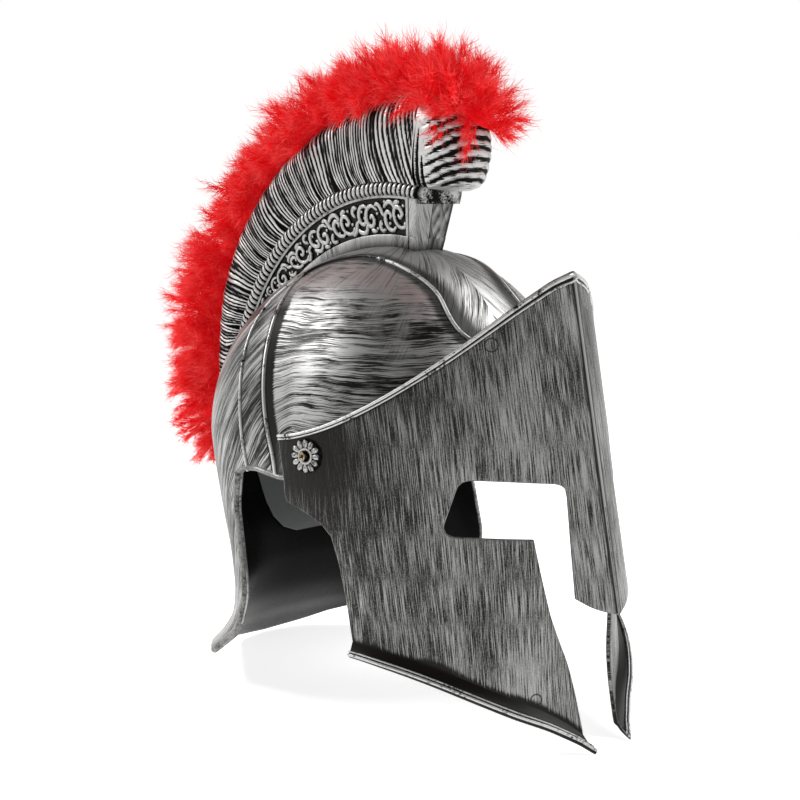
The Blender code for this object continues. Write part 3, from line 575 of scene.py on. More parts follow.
def make_dry_brush():
    """Paint dragged over black plastic with a nearly dry brush: hair-fine streaks along Along,
    broken into longer strokes and into patches where the brush was fuller."""
    names = ("Across", "Along", "Streak mm", "Length", "Cover", "Patches", "Broken", "Softness", "Seed")
    ends, results = [(name, "Float") for name in names], (("Paint", "Float"), ("Relief", "Float"))
    group, given, result = new_group("dry_brush", "ShaderNodeTree", ends, results)
    values = [Signal(given.outputs[name]) for name in names]
    across, along, streak, length, cover, patches, broken, softness, seed = values
    streaks = 0.8 / streak
    across_mm, along_mm = across * 1000.0, along * 1000.0
    fine_place = add_node(
        group, "ShaderNodeCombineXYZ", None, X=across_mm * streaks, Y=along_mm * streaks / length, Z=seed
    ).outputs[0]
    fine = noise(Signal(fine_place), 1.0, 4.0, 0.70)
    stroke_place = add_node(
        group, "ShaderNodeVectorMath", {"operation": "MULTIPLY_ADD"},
        s0=fine_place, s1=(0.23, 0.34, 1.0), s2=(7.3, 3.1, 4.7),
    ).outputs[0]
    stroke = noise(Signal(stroke_place), 1.0)
    patch_place = add_node(
        group, "ShaderNodeCombineXYZ", None, X=across_mm * 0.055, Y=along_mm * 0.026, Z=seed + 5.5
    ).outputs[0]
    load = cover - 0.5 + (noise(Signal(patch_place), 1.0) - 0.5) * patches
    paint = (broken.between(fine, stroke) + load).step(0.5 - softness, softness + 0.5)
    set_sockets(result, Paint=paint, Relief=fine)
    return group


dry_brush = make_dry_brush()


def brush_strokes(across, along, **settings):
    """Paint and relief of one set of strokes; settings are named as the sockets, in small letters."""
    node = add_node(across.tree, "ShaderNodeGroup", {"node_tree": dry_brush}, Across=across, Along=along)
    set_sockets(node, **{key.capitalize(): value for key, value in settings.items()})
    return Signal(node.outputs["Paint"]), Signal(node.outputs["Relief"])


def new_finish(name):
    material = bpy.data.materials.new(name)
    material.use_nodes = True
    tree = material.node_tree
    return material, tree, tree.nodes["Principled BSDF"]


def hazy_finish(name, grain, detail, dark, light, gloss, level):
    """Plastic or paper with a faint haze in its colour, and in its gloss where that is a range."""
    material, tree, shader = new_finish(name)
    haze = noise(object_place(tree), grain, detail, 0.6)
    rough = haze.ramp(0.0, 1.0, *gloss) if isinstance(gloss, tuple) else gloss
    colour = blend_colours(haze, dark, light)
    set_sockets(shader, Base_Color=colour, Roughness=rough, Specular_IOR_Level=level)
    return material


def silver_over_black(
    shader, paint, relief, silver, black=BLACK, gloss=(0.30, 0.42), metal=0.78, depth=0.07, level=0.07
):
    """Wire a paint mask to a Principled shader: metallic silver where it is 1, bare plastic where 0.
    Depth is that of the paint's edge in mm, and level that of the bare plastic's highlight."""
    height = paint * 0.6 + relief * 0.4
    bump = add_node(paint.tree, "ShaderNodeBump", None, Strength=1.0, Distance=depth / 1000.0, Height=height)
    set_sockets(
        shader, Base_Color=blend_colours(paint, black, silver), Roughness=paint.ramp(0.0, 1.0, *gloss),
        Metallic=paint * metal, Normal=bump.outputs["Normal"], Specular_IOR_Level=level,
    )


def make_skull_silver():
    material, tree, shader = new_finish("skull_brushed_silver")
    round_way, up_way, _ = axes(brushing_map(tree))
    place = object_place(tree)
    wander = noise(place, 26.0) * 0.008
    inward = field(tree, "in_panel")
    off_rear_leg = field(tree, "off_rear_leg")
    by_leg = 1.0 - off_rear_leg
    # Strokes of the panel: level, their rear ends turned down along the bead
    comb = maths("EXPONENT", inward.at_least(0.0) * -0.070)
    bent = up_way + comb * by_leg * up_way.ramp(0.15, 0.22, 0.013, 0.004) + wander
    level, level_relief = brush_strokes(
        bent, round_way, streak_mm=0.50, length=60.0, cover=up_way.ramp(0.20, 0.25, 0.480, 0.545),
        patches=0.34, broken=0.30, softness=0.060, seed=2.0,
    )
    scratch, _ = brush_strokes(
        bent, round_way, streak_mm=0.42, length=70.0, cover=0.40,
        patches=0.30, broken=0.10, softness=0.03, seed=21.0,
    )
    # Strokes outside the panel, and in swirls at its front: they rise forwards
    rising, rising_relief = brush_strokes(
        round_way + up_way * 0.62 + wander, up_way, streak_mm=0.52, length=34.0,
        cover=off_rear_leg.ramp(0.0, 1.0, 0.490, 0.545), patches=0.30, broken=0.30, softness=0.060, seed=9.0,
    )
    swirls = off_rear_leg * inward.step(24.0, 2.0) * noise(place, 34.0, 1.0).step(0.47, 0.53)
    crossed = inward.step(0.6, -0.6).at_least(swirls)
    paint = crossed.between(level, rising).at_least(scratch * (0.9 - crossed))
    relief = crossed.between(level_relief, rising_relief)
    # Bare bands, in mm from the beads: on both sides of the rear leg; and close to every bead a dark line
    # at its foot, a painted shadow made by leaving the plastic bare there
    ragged = (relief - 0.5) * 9.0
    ahead_bare = (inward + ragged).step(9.4, 7.6) * inward.step(-0.8, 0.2)
    behind_bare = (ragged - inward).step(4.6, 3.0) * inward.step(0.8, -0.2)
    close = maths("MINIMUM", abs(inward), abs(field(tree, "behind_nape"))) + ragged * 0.3
    bare_and_bead_shadow = (ahead_bare.at_least(behind_bare) * by_leg).at_least(close.step(2.6, 1.3) * 0.85)
    rubbed = field(tree, "from_edge").step(1.4, 0.3) * 0.75 * relief
    painted = (paint * (1.0 - bare_and_bead_shadow)).at_least(rubbed)
    silver_over_black(shader, painted, relief, SILVER, gloss=(0.30, 0.40))
    return material


def make_rubbed_silver(name, bare_share, soft, silver):
    """Raised beads and lips, where the paint is nearly solid and chipped to a given share."""
    material, tree, shader = new_finish(name)
    place = object_place(tree)
    chips = noise(place, 620.0, 4.0, 0.68)
    load = chips + (noise(place, 90.0, 3.0) - 0.5) * 0.9 - field(tree, "worn_off") * 0.34
    paint = load.step(0.36 + bare_share - soft, 0.36 + bare_share + soft)
    silver_over_black(shader, paint, chips, silver, gloss=(0.35, 0.42), metal=0.72, depth=0.05)
    return material


skull_silver = make_skull_silver()
bare_plastic = hazy_finish(
    "bare_black_plastic", grain=35.0, detail=4.0,
    dark=(0.003,) * 3, light=(0.009,) * 3, gloss=(0.20, 0.34), level=0.05,
)
bead_silver = make_rubbed_silver("rubbed_bead_silver", bare_share=0.02, soft=0.10, silver=SILVER_BRIGHT)
edge_silver = make_rubbed_silver("worn_edge_silver", bare_share=0.04, soft=0.26, silver=(0.24, 0.24, 0.235))

skull = build_skull(front_steps=54, back_steps=48, rise_steps=70, guard_steps=58)
turn_outward(skull, centre=(0.0, HELMET_CENTRE[1], 0.15))
for finish in (skull_silver, bare_plastic, bead_silver, edge_silver):
    skull.data.materials.append(finish)
add_wall(skull, SHELL_WALL, rim_width=0.0007, rim_angle=50.0, sharp=35.0)

skull_beads = []
ear_line = evenly(rounded_line(EAR_TO_FOREHEAD[:5]), 40)
for side in (1.0, -1.0):
    for name, line, profile in (
        ("panel_bead", evenly(smooth_line(PANEL_BEAD, 200), 130), half_round(0.0022, 0.0013)),
        ("nape_bead", evenly(smooth_line(NAPE_BEAD, 120), 80), half_round(0.0019, 0.0011)),
        ("guard_roll", evenly(rounded_line(GUARD_FRONT), 70), [(side * x, rise) for x, rise in EDGE_ROLL]),
        ("ear_roll", ear_line, [(side * 0.62 * x, 1.15 * rise) for x, rise in EDGE_ROLL]),
    ):
        skull_beads.append(bead_piece(name, line, side, profile))
join_beads(skull, skull_beads)
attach(skull, "helmet")
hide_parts("skull_shell")


# The face plate: a second black moulding with a keel down its front, cut for the eyes, nose and
# mouth and flared along its hem. It is brushed from top to bottom with less silver than the skull,
# and its silver is mixed darker as painted shade for the weaker light on it; its brow and hem are
# edged with fine double beads, and the flare is left bare.
RIDGE_TOP_Z = 0.2451
RIDGE_LEAN = 0.19
VISOR_WALL = 0.0024
EYES_Z = 0.160
CHEEK_Z = 0.050
NOSE_HALF_WIDTH = 0.0202
BRIDGE_BLEND = 0.0195
TIP_SWEEP = 0.0050
TIP_SWEEP_X = (0.0140, 0.0314)
TIP_SWEEP_Z = 0.0078
PLAN_COLUMNS = ("x", "eyes_y", "cheek_y")
PLAN_ROWS = (
    (0.0000, -0.1414, -0.1470),
    (0.0100, -0.1382, -0.1425),
    (0.0202, -0.1325, -0.1369),
    (0.0214, -0.1317, -0.1363),
    (0.0300, -0.1254, -0.1315),
    (0.0400, -0.1164, -0.1250),
    (0.0550, -0.1004, -0.1135),
    (0.0730, -0.0784, -0.0960),
    (0.0850, -0.0604, -0.0800),
    (0.0950, -0.0394, -0.0500),
    (0.1000, -0.0234, -0.0200),
    (0.1025, -0.0064, 0.0000),
    (0.1032, 0.0140, 0.0160),
)
BROW_REAR = (-0.0090, 0.1590)
BROW_SLOPE = 0.0985
BROW_CURVE = 5.54
NOSE_TIP = (-0.1583, 0.0708)
NOSE_CORNER = (-0.1466, 0.0808)
WING_REAR = ((-0.0434, 0.1080), (-0.0367, 0.1146), (-0.0250, 0.1200), (-0.0135, 0.1240), (-0.0122, 0.1397))
CHEEK_REAR = ((-0.0570, 0.0547), (-0.0547, 0.0660), (-0.0520, 0.0790), (-0.0482, 0.0940), (-0.0434, 0.1080))
EYE_SLOT_TOP = ((-0.1376, 0.1383), (-0.1000, 0.1405))
EYE_SLOT_REAR = (-0.0943, 0.1120)
EYE_SLOT_FLOOR = (-0.1272, 0.1099)
EYE_SLOT_RADIUS = 0.005
CHEEK_FRONT = (
    (-0.1471, 0.0078),
    (-0.1441, 0.0200),
    (-0.1408, 0.0350),
    (-0.1371, 0.0520),
    (-0.1335, 0.0700),
    (-0.1303, 0.0900),
    (-0.1272, 0.1099),
)
CREASE_SLOPE = 0.02
CREASE_CURVE = 5.57
CREASE_SPLIT_Y = -0.1040
HEM_OUT_FRONT = 0.0092
HEM_OUT_REAR = 0.0042
HEM_DROP = 0.0066
PIVOT_PLACE = (-0.0290, 0.1495)
EJECTOR_MARKS = ((0.041, -0.106, 0.2086, 3.4), (0.033, -0.131, 0.027, 2.9))


def plate_x(y, z, run):
    """Distance of the plate from the mid-plane at a point of its side view."""
    x = column(PLAN_ROWS, PLAN_COLUMNS, "x")
    eyes = column(PLAN_ROWS, PLAN_COLUMNS, "eyes_y")
    ys = eyes - RIDGE_LEAN * (EYES_Z - z)
    if z < EYES_Z:
        lower = column(PLAN_ROWS, PLAN_COLUMNS, "cheek_y")
        cheek = eyes + (lower - eyes) * (EYES_Z - z) / (EYES_Z - CHEEK_Z)
        drop = max(0.0, (CHEEK_Z - z) / (CHEEK_Z - TIP_SWEEP_Z)) ** 1.5
        near_tip = np.clip((TIP_SWEEP_X[1] - x) / (TIP_SWEEP_X[1] - TIP_SWEEP_X[0]), 0.0, 1.3)
        away = np.clip((x - NOSE_HALF_WIDTH) / BRIDGE_BLEND, 0.0, 1.0)
        if run == "cheek":
            away = np.ones_like(x)
        ys = ys + (cheek - TIP_SWEEP * drop * near_tip - ys) * away * away * (3.0 - 2.0 * away)
    if y <= ys[0] + 0.00001:
        return 0.0
    return float(smooth_value(ys, x, y))


def on_plate(line, run):
    return np.array([(plate_x(y, z, run), y, z) for y, z in line])


def ridge_point(z):
    return (PLAN_ROWS[0][1] - RIDGE_LEAN * (EYES_Z - z), z)


def brow_point(y):
    t = BROW_REAR[0] - y
    return (y, BROW_REAR[1] + BROW_SLOPE * t + BROW_CURVE * t * t)


def crease_point(y):
    t = CHEEK_REAR[0][0] - y
    return (y, CHEEK_REAR[0][1] - CREASE_SLOPE * t - CREASE_CURVE * t * t)


def visor_grids():
    """Side-view grids of the left half of the plate, and the run of its plan each one follows."""
    nose_cols, eye_cols, side_cols, rise, low_rows, slot_rows = 12, 26, 46, 46, 44, 12
    slot = rounded_line(
        (
            (*NOSE_CORNER, 0.0),
            (*EYE_SLOT_TOP[0], EYE_SLOT_RADIUS),
            (*EYE_SLOT_TOP[1], EYE_SLOT_RADIUS),
            (*EYE_SLOT_REAR, EYE_SLOT_RADIUS),
            (*EYE_SLOT_FLOOR, 0.0),
        ),
        8,
    )
    nose_corner_mid, top_mid, low_mid = 5, 14, 23
    nose_edge = evenly(slot[: nose_corner_mid + 1], 34)
    slot_top = evenly(slot[nose_corner_mid : top_mid + 1], eye_cols)
    slot_rear = evenly(slot[top_mid : low_mid + 1], slot_rows)
    slot_floor = evenly(slot[low_mid:], eye_cols)
    bridge_z = nose_edge[-1][1]
    brow_ys = (ridge_point(RIDGE_TOP_Z)[0], -0.1085, -0.0840, BROW_REAR[0])
    brows = [
        [brow_point(y) for y in np.linspace(brow_ys[k], brow_ys[k + 1], count + 1)]
        for k, count in enumerate((nose_cols, eye_cols, side_cols))
    ]
    bridge = evenly((ridge_point(bridge_z), nose_edge[-1]), nose_cols)
    waist = evenly((slot_rear[0], WING_REAR[-1]), side_cols)
    jaw = evenly((slot_rear[-1], WING_REAR[0]), side_cols)
    split_nose = evenly((nose_edge[-1], brows[1][0]), rise)
    split_eye = evenly((slot_rear[0], brows[2][0]), rise)
    split_cheek = evenly((crease_point(CREASE_SPLIT_Y), slot_rear[-1]), low_rows)
    crease_front = [crease_point(y) for y in np.linspace(CHEEK_FRONT[0][0], CREASE_SPLIT_Y, eye_cols + 1)]
    crease_front[0] = CHEEK_FRONT[0]
    crease_rear = [crease_point(y) for y in np.linspace(CREASE_SPLIT_Y, CHEEK_REAR[0][0], side_cols + 1)]
    nose_floor = evenly((NOSE_TIP, NOSE_CORNER), nose_cols)
    return (
        (coons(nose_floor, bridge, evenly((NOSE_TIP, bridge[0]), 34), nose_edge), "brow"),
        (coons(bridge, brows[0], evenly((bridge[0], brows[0][0]), rise), split_nose), "brow"),
        (coons(slot_top, brows[1], split_nose, split_eye), "brow"),
        (coons(waist, brows[2], split_eye, evenly((WING_REAR[-1], brows[2][-1]), rise)), "brow"),
        (coons(jaw, waist, slot_rear[::-1], evenly(WING_REAR, slot_rows)), "cheek"),
        (coons(crease_rear, jaw, split_cheek, evenly(CHEEK_REAR, low_rows)), "cheek"),
        (coons(crease_front, slot_floor[::-1], evenly(CHEEK_FRONT, low_rows), split_cheek), "cheek"),
    )


def hem_lip(crease):
    """Outer edge of the flared hem below the crease points."""
    first, last = CHEEK_FRONT[0][0], CHEEK_REAR[0][0]
    lip = []
    for x, y, z in crease:
        t = (y - first) / (last - first)
        run = on_plate([(y + 0.002, z)], "cheek")[0] - on_plate([(y - 0.002, z)], "cheek")[0]
        run = run / np.linalg.norm(run)
        square = min(1.0, t / 0.25)
        out = np.array((run[1], -run[0], 0.0)) * square + np.array((-0.06, -1.0, 0.0)) * (1.0 - square)
        out = out / np.linalg.norm(out)
        flare = HEM_OUT_FRONT + (HEM_OUT_REAR - HEM_OUT_FRONT) * t
        lip.append(np.array((x, y, z)) + out * flare - np.array((0.0, 0.0, HEM_DROP)))
    return np.array(lip)


def below_brow(points):
    ys = np.linspace(ridge_point(RIDGE_TOP_Z)[0] - 0.004, BROW_REAR[0] + 0.004, 60)
    line = np.array([brow_point(y) for y in ys])
    return -off_line(points[:, 1:], line)


def build_visor_skin():
    points, faces, uv, above_crease = [], [], [], []
    start = 0
    grids = visor_grids()
    plan_x = column(PLAN_ROWS, PLAN_COLUMNS, "x")
    plan_y = column(PLAN_ROWS, PLAN_COLUMNS, "eyes_y")
    spans = np.hypot(np.diff(plan_x), np.diff(plan_y))
    round_the_face = np.concatenate(([0.0], np.cumsum(spans)))
    sheets = []
    for grid, run in grids:
        rows, columns = grid.shape[:2]
        place = on_plate(grid.reshape(-1, 2), run)
        crease_z = np.array([crease_point(y)[1] for y in place[:, 1]])
        sheets.append((place, rows, columns, (place[:, 2] - crease_z) * 1000.0))
    hem_rows = 7
    for grid, run in grids[-2:]:
        crease = on_plate(grid[0], run)
        lip = hem_lip(crease)
        t = np.linspace(0.0, 1.0, hem_rows + 1)[::-1, None, None]
        dip = np.sin(t * math.pi) * 0.0009
        hem = crease[None] * (1.0 - t) + lip[None] * t - dip * np.array((0.0, 0.0, 1.0))
        depth = np.repeat(-t[:, 0, 0] * 9.0, len(crease))
        sheets.append((hem.reshape(-1, 3), hem_rows + 1, len(crease), depth))
    for place, rows, columns, above in sheets:
        for side in (1.0, -1.0):
            points.append(place * (side, 1.0, 1.0))
            faces += list(grid_faces(rows, columns, start))
            across = np.interp(place[:, 0], plan_x, round_the_face) + (0.7 if side > 0.0 else 0.0)
            uv.append(np.stack([across, place[:, 2]], axis=-1))
            above_crease.append(above)
            start += rows * columns
    points = np.concatenate(points)
    fields = {
        "below_brow": below_brow(points) * 1000.0,
        "above_crease": np.concatenate(above_crease),
    }
    return new_piece("face_plate_brushed", points, faces, fields, np.concatenate(uv))


def far_mm(place, point):
    """Distance in mm of a place from a point of the helmet."""
    centre = tuple(np.add(point, HELMET_CENTRE).tolist())
    away = add_node(place.tree, "ShaderNodeVectorMath", {"operation": "DISTANCE"}, s0=place, s1=centre)
    return Signal(away.outputs["Value"]) * 1000.0


def make_visor_silver():
    material, tree, shader = new_finish("plate_brushed_silver")
    round_way, up_way, _ = axes(brushing_map(tree))
    place = object_place(tree)
    x, y, z = axes(place)
    paint, relief = brush_strokes(
        round_way + noise(place, 22.0) * 0.0018, up_way, streak_mm=0.36, length=50.0,
        cover=y.ramp(-0.165, -0.075, 0.50, 0.42), patches=0.20, broken=0.08, softness=0.09, seed=3.0,
    )
    paint = (paint + (noise(place, 1300.0, 2.0, 0.6) - 0.5) * 0.9).at_least(0.0)
    ragged = (relief - 0.5) * 9.0
    # The paint fades out above the hem's crease and below the brow's beads
    from_hem = field(tree, "above_crease") + ragged + (noise(place, 30.0) - 0.5) * 9.0
    from_brow = field(tree, "below_brow") + ragged * 0.4
    painted = paint * from_hem.step(1.2, 3.4) * from_brow.step(3.2, 5.2)
    # The keel is rubbed bright between two dark lines
    off_keel = abs(x) * 1000.0
    keel_dark = (off_keel + ragged * 0.5).step(3.4, 2.0) * 0.92
    keel = off_keel.step(1.2, 0.6) * (relief + 0.5)
    painted = (painted * (1.0 - keel_dark)).at_least(keel * 0.9)
    # Rings left by the mould's ejector pins
    mirrored = Signal(add_node(tree, "ShaderNodeCombineXYZ", None, X=abs(x), Y=y, Z=z).outputs[0])
    first, second = [abs(far_mm(mirrored, mark[:3]) - mark[3]).step(0.55, 0.2) for mark in EJECTOR_MARKS]
    rings = first.at_least(second)
    # The paint is thin round the rosette, and the plate is darker towards the top of its rear edge
    near_rosette = (far_mm(mirrored, (0.097, *PIVOT_PLACE)) + ragged).step(54.0, 12.0)
    high_rear = z.ramp(0.125, 0.20) * y.ramp(-0.155, -0.09)
    rosette_and_rear_darkening = near_rosette.at_least(high_rear * 0.75)
    painted = painted * (1.0 - rings * 0.85) * (1.0 - rosette_and_rear_darkening * 0.92)
    black = (0.0060, 0.0050, 0.0038)
    # The silver is mixed darker than the skull's, a painted shade for the weaker light on the plate
    silver_over_black(
        shader, painted, relief - rings * 1.5, (0.36, 0.365, 0.355), black, (0.32, 0.42), 0.6, level=0.15
    )
    return material


visor_silver = make_visor_silver()
visor = build_visor_skin()
turn_outward(visor, centre=(0.0, HELMET_CENTRE[1], 0.13))
for finish in (visor_silver, bare_plastic, bead_silver, edge_silver):
    visor.data.materials.append(finish)
add_wall(visor, VISOR_WALL, rim_width=0.0006, rim_angle=60.0, sharp=32.0)


def plate_outward(line, run):
    """Outward directions of the plate along a side-view line."""
    place = on_plate(line, run)
    inward = on_plate(line + np.array((0.0006, -0.0012)), run) - place
    outward = np.cross(np.gradient(place, axis=0), inward)
    inward_facing = np.sum(outward * (place - np.array((0.0, 0.0, 0.13))), axis=1) < 0.0
    outward = outward * np.where(inward_facing, -1.0, 1.0)[:, None]
    off_ridge = int(np.argmax(place[:, 0] > 0.0004))
    outward[:off_ridge] = outward[off_ridge]
    return outward


def both_sides(name, path, outward, profile):
    """The same bead on both halves of the plate."""
    mirrors = [np.array((side, 1.0, 1.0)) for side in (1.0, -1.0)]
    return [new_piece(name, *run_profile(path * mirror, outward * mirror, profile)) for mirror in mirrors]


visor_beads = []
brow_ys = np.linspace(ridge_point(RIDGE_TOP_Z)[0] + 0.0006, BROW_REAR[0], 120)
brow_line = np.array([brow_point(y) for y in brow_ys])
brow_run = np.gradient(brow_line, axis=0)
brow_down = np.stack([brow_run[:, 1], -brow_run[:, 0]], axis=1)
brow_down = brow_down / np.linalg.norm(brow_down, axis=1)[:, None]
brow_down = brow_down * np.sign(-brow_down[:, 1])[:, None]
to_peak = np.clip((-brow_line[:, 0] - 0.075) / 0.05, 0.0, 1.0)[:, None]
for name, offset, width, rise in (
    ("brow_lip", 0.0009, 0.0016, 0.0008),
    ("brow_bead", 0.0026, 0.0009, 0.0005),
):
    line = brow_line + brow_down * (offset + to_peak * offset * 0.4)
    shapes = [np.array(half_round(width * (1.0 + 0.4 * float(swell)), rise)) for swell in to_peak[:, 0]]
    visor_beads += both_sides(name, on_plate(line, "brow"), plate_outward(line, "brow"), shapes)
for grid, run in visor_grids()[-2:]:
    crease = on_plate(grid[0], run)
    span = hem_lip(crease) - crease
    for name, share, width, rise in (("hem_edge", 0.93, 0.0014, 0.0006), ("hem_bead", 0.72, 0.0009, 0.0005)):
        path = crease + span * share
        outward = np.cross(np.gradient(path, axis=0), span)
        outward = outward * np.sign(outward[:, 2])[:, None]
        visor_beads += both_sides(name, path, outward, half_round(width, rise))
join_beads(visor, visor_beads)
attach(visor, "face_plate")
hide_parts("visor")


# The crest's plinth: a hollow moulded arch along the top of the skull, brushed silver round its
# frame, with a sunk black panel on each side and raised scrolls cast in the panel.
ORIGIN = (0.0, 0.0, 0.0)
CREST_FRONT_ANGLE = -10.5
CREST_REAR_ANGLE = 117.0
PLINTH_FRAME_END = -7.1
PLINTH_TOP_R = 0.1375
PLINTH_BORDER_R = 0.1155
PLINTH_TOP_HALF = 0.0157
PLINTH_FOOT_HALF = 0.0112
PLINTH_BORDER_HALF = PLINTH_FOOT_HALF + 0.0015
PLINTH_PANEL_TOP_R = PLINTH_TOP_R - 0.0016
PLINTH_PANEL_DEPTH = 0.0014
PLINTH_SEAM_X = -0.0008
BLOCK_EDGE = -8.05
PANEL_MID_R = 0.126
SCROLL_LENGTH = 0.0215
SCROLL_REACH = math.radians(CREST_REAR_ANGLE - PLINTH_FRAME_END - 2.0) * PANEL_MID_R
SCROLL_REPEATS = int(SCROLL_REACH / SCROLL_LENGTH)
SCROLL_WIDTH = 0.0034
SCROLL_STROKES = (
    ((-0.06, 0.26), (0.08, 0.12), (0.26, 0.16), (0.37, 0.38), (0.34, 0.64), (0.21, 0.78), (0.09, 0.70),
     (0.07, 0.52), (0.17, 0.43), (0.23, 0.54)),
    ((0.33, 0.20), (0.46, 0.08), (0.62, 0.14), (0.72, 0.36), (0.69, 0.60), (0.57, 0.68), (0.49, 0.56),
     (0.56, 0.44)),
    ((0.38, 0.66), (0.42, 0.84), (0.54, 0.93), (0.70, 0.86), (0.78, 0.74)),
    ((0.76, 0.46), (0.88, 0.56), (0.90, 0.76), (0.99, 0.92), (1.10, 0.88)),
    ((0.74, 0.10), (0.86, 0.08), (0.94, 0.22), (0.90, 0.40)),
    ((0.10, 0.96), (0.22, 0.93), (0.30, 0.84)),
)
SCROLL_DOTS = ((0.53, 0.27), (0.02, 0.88), (0.97, 0.60), (0.84, 0.26), (0.66, 0.97))


def crest_place(angle, radius, x):
    """Points of the crest: angle from straight up about the skull's centre, radius, and x."""
    turn, radius, x = np.broadcast_arrays(np.radians(angle), radius, x)
    return np.stack([x, radius * np.sin(turn), SKULL_MID_Z + radius * np.cos(turn)], axis=-1)


def skull_radius(angle, x=0.0):
    """Distance from the skull's centre to its surface at angles seen from the side."""
    turn = np.radians(angle)
    low = np.full(np.shape(turn), 0.05)
    high = np.full(np.shape(turn), 0.20)
    for _ in range(30):
        middle = (low + high) / 2.0
        y = middle * np.sin(turn)
        half, front, back = shell_reach(SKULL_MID_Z + middle * np.cos(turn))
        reach = np.maximum(np.where(y > 0.0, back, front), 0.0001)
        half = np.maximum(half, 0.0001)
        share = (abs(x) / half) ** SKULL_ROUNDNESS + (np.abs(y) / reach) ** SKULL_ROUNDNESS
        low = np.where(share < 1.0, middle, low)
        high = np.where(share < 1.0, high, middle)
    return low


plinth_angles = np.concatenate((
    np.linspace(CREST_FRONT_ANGLE, BLOCK_EDGE - 0.28, 5),
    (BLOCK_EDGE, BLOCK_EDGE + 0.28, PLINTH_FRAME_END),
    np.arange(PLINTH_FRAME_END + 0.15, CREST_REAR_ANGLE, 0.6),
    [CREST_REAR_ANGLE],
))
plinth_foot = skull_radius(plinth_angles, PLINTH_FOOT_HALF)
plinth_border = np.maximum(PLINTH_BORDER_R, plinth_foot + 0.0068)


def build_plinth():
    angle, foot, border = plinth_angles, plinth_foot, plinth_border
    in_panel = (angle > PLINTH_FRAME_END + 0.1) & (angle < CREST_REAR_ANGLE)
    sunk = np.where(in_panel, PLINTH_PANEL_DEPTH, 0.0)
    drawn = np.zeros(len(angle))
    drawn[[0, -1]] = 0.0005
    drawn[angle == BLOCK_EDGE] = 0.0006
    half = PLINTH_BORDER_HALF - drawn
    top_half = PLINTH_TOP_HALF - drawn
    top_inner = np.maximum(PLINTH_PANEL_TOP_R, border + 0.001)
    top = np.maximum(PLINTH_TOP_R, border + 0.003)
    lines = [
        (0.0 * foot, foot - 0.0008),
        (PLINTH_FOOT_HALF - drawn, foot - 0.0008),
        (half - 0.0001, border - 0.0008),
        (half, border - 0.0004),
        (half - 0.0003, border),
    ]
    for share in np.linspace(0.0, 1.0, 6):
        x = half + (top_half - half) * share - sunk - 0.0002
        lines.append((x, border + 0.0002 + (top_inner - border - 0.0004) * share))
    lines += [(top_half - 0.0003, top_inner + 0.0001), (top_half, top_inner + 0.0004), (top_half, top)]
    side = np.stack([crest_place(angle, r, x) for x, r in lines], axis=1)
    radii = np.stack([np.broadcast_to(r, angle.shape) for _, r in lines], axis=1)
    ring = np.concatenate([side, (side[:, 1:] * (-1.0, 1.0, 1.0))[:, ::-1]], axis=1)
    ring_radii = np.concatenate([radii, radii[:, 1:][:, ::-1]], axis=1)
    stations, around = ring.shape[:2]
    points = [ring.reshape(-1, 3)]
    arc = np.repeat(np.radians(angle) * PANEL_MID_R, around)
    uv = [np.stack([arc, ring_radii.ravel()], axis=-1)]
    faces = tube_faces(stations, around) + [tuple(range((stations - 1) * around, stations * around))]
    sunk_sides = [k for k in range(around) if 4 <= min(k, around - 1 - k) <= 10]
    sunk_faces = [i * around + k for i in range(stations - 1) if in_panel[i] for k in sunk_sides]
    start = stations * around
    share = np.linspace(-1.0, 1.0, 41)
    cap_x = np.stack([x[0] * share for x, _ in lines[1:]])
    near_seam = np.exp(-(((cap_x - PLINTH_SEAM_X) / 0.0005) ** 2))
    cap_r = np.repeat(np.array([r[0] for _, r in lines[1:]])[:, None], len(share), axis=1)
    shifted = 1.0 / (1.0 + np.exp(-(cap_x - PLINTH_SEAM_X) / 0.0002))
    lumpy = 0.12 * np.sin(cap_r * 900.0 + cap_x * 500.0) + 0.10 * np.sin(cap_r * 2100.0 - cap_x * 1300.0)
    cap = crest_place(CREST_FRONT_ANGLE + near_seam * 0.30 + shifted * (0.42 + lumpy), cap_r, cap_x)
    points.append(cap.reshape(-1, 3))
    uv.append(np.stack([cap_x.ravel() + 0.3, cap_r.ravel()], axis=-1))
    faces += list(grid_faces(len(lines) - 1, len(share), start))
    # Paint left off in the black crevice along the foot, where it also stands as painted shade under the
    # plinth, and in the groove at the block's edge
    foot_crevice_and_shade = np.clip(1.0 - (ring_radii - foot[:, None] + 0.0008) / 0.0011, 0.0, 1.0)
    foot_crevice_and_shade = np.maximum(foot_crevice_and_shade, (angle == BLOCK_EDGE)[:, None] * 1.0)
    # On the cap: a dark seam line, a little less paint all over, and the half past the seam darkened as
    # painted shade on its shadowed side, varied by its lumps
    cap_foot_crevice_and_shade = np.clip(1.0 - (cap_r - foot[0] + 0.0008) / 0.0011, 0.0, 1.0)
    cap_crevice_and_shade = np.clip(near_seam + 0.10 + shifted * (0.34 - 2.4 * lumpy) + cap_foot_crevice_and_shade, 0.0, 1.0)
    crevice_and_painted_shade = np.concatenate([foot_crevice_and_shade.ravel(), cap_crevice_and_shade.ravel()])
    fields = {"crevice_and_painted_shade": crevice_and_painted_shade}
    piece = new_piece("crest_plinth_moulding", np.concatenate(points), faces, fields, np.concatenate(uv))
    for index in sunk_faces:
        piece.data.polygons[index].material_index = 1
    return piece


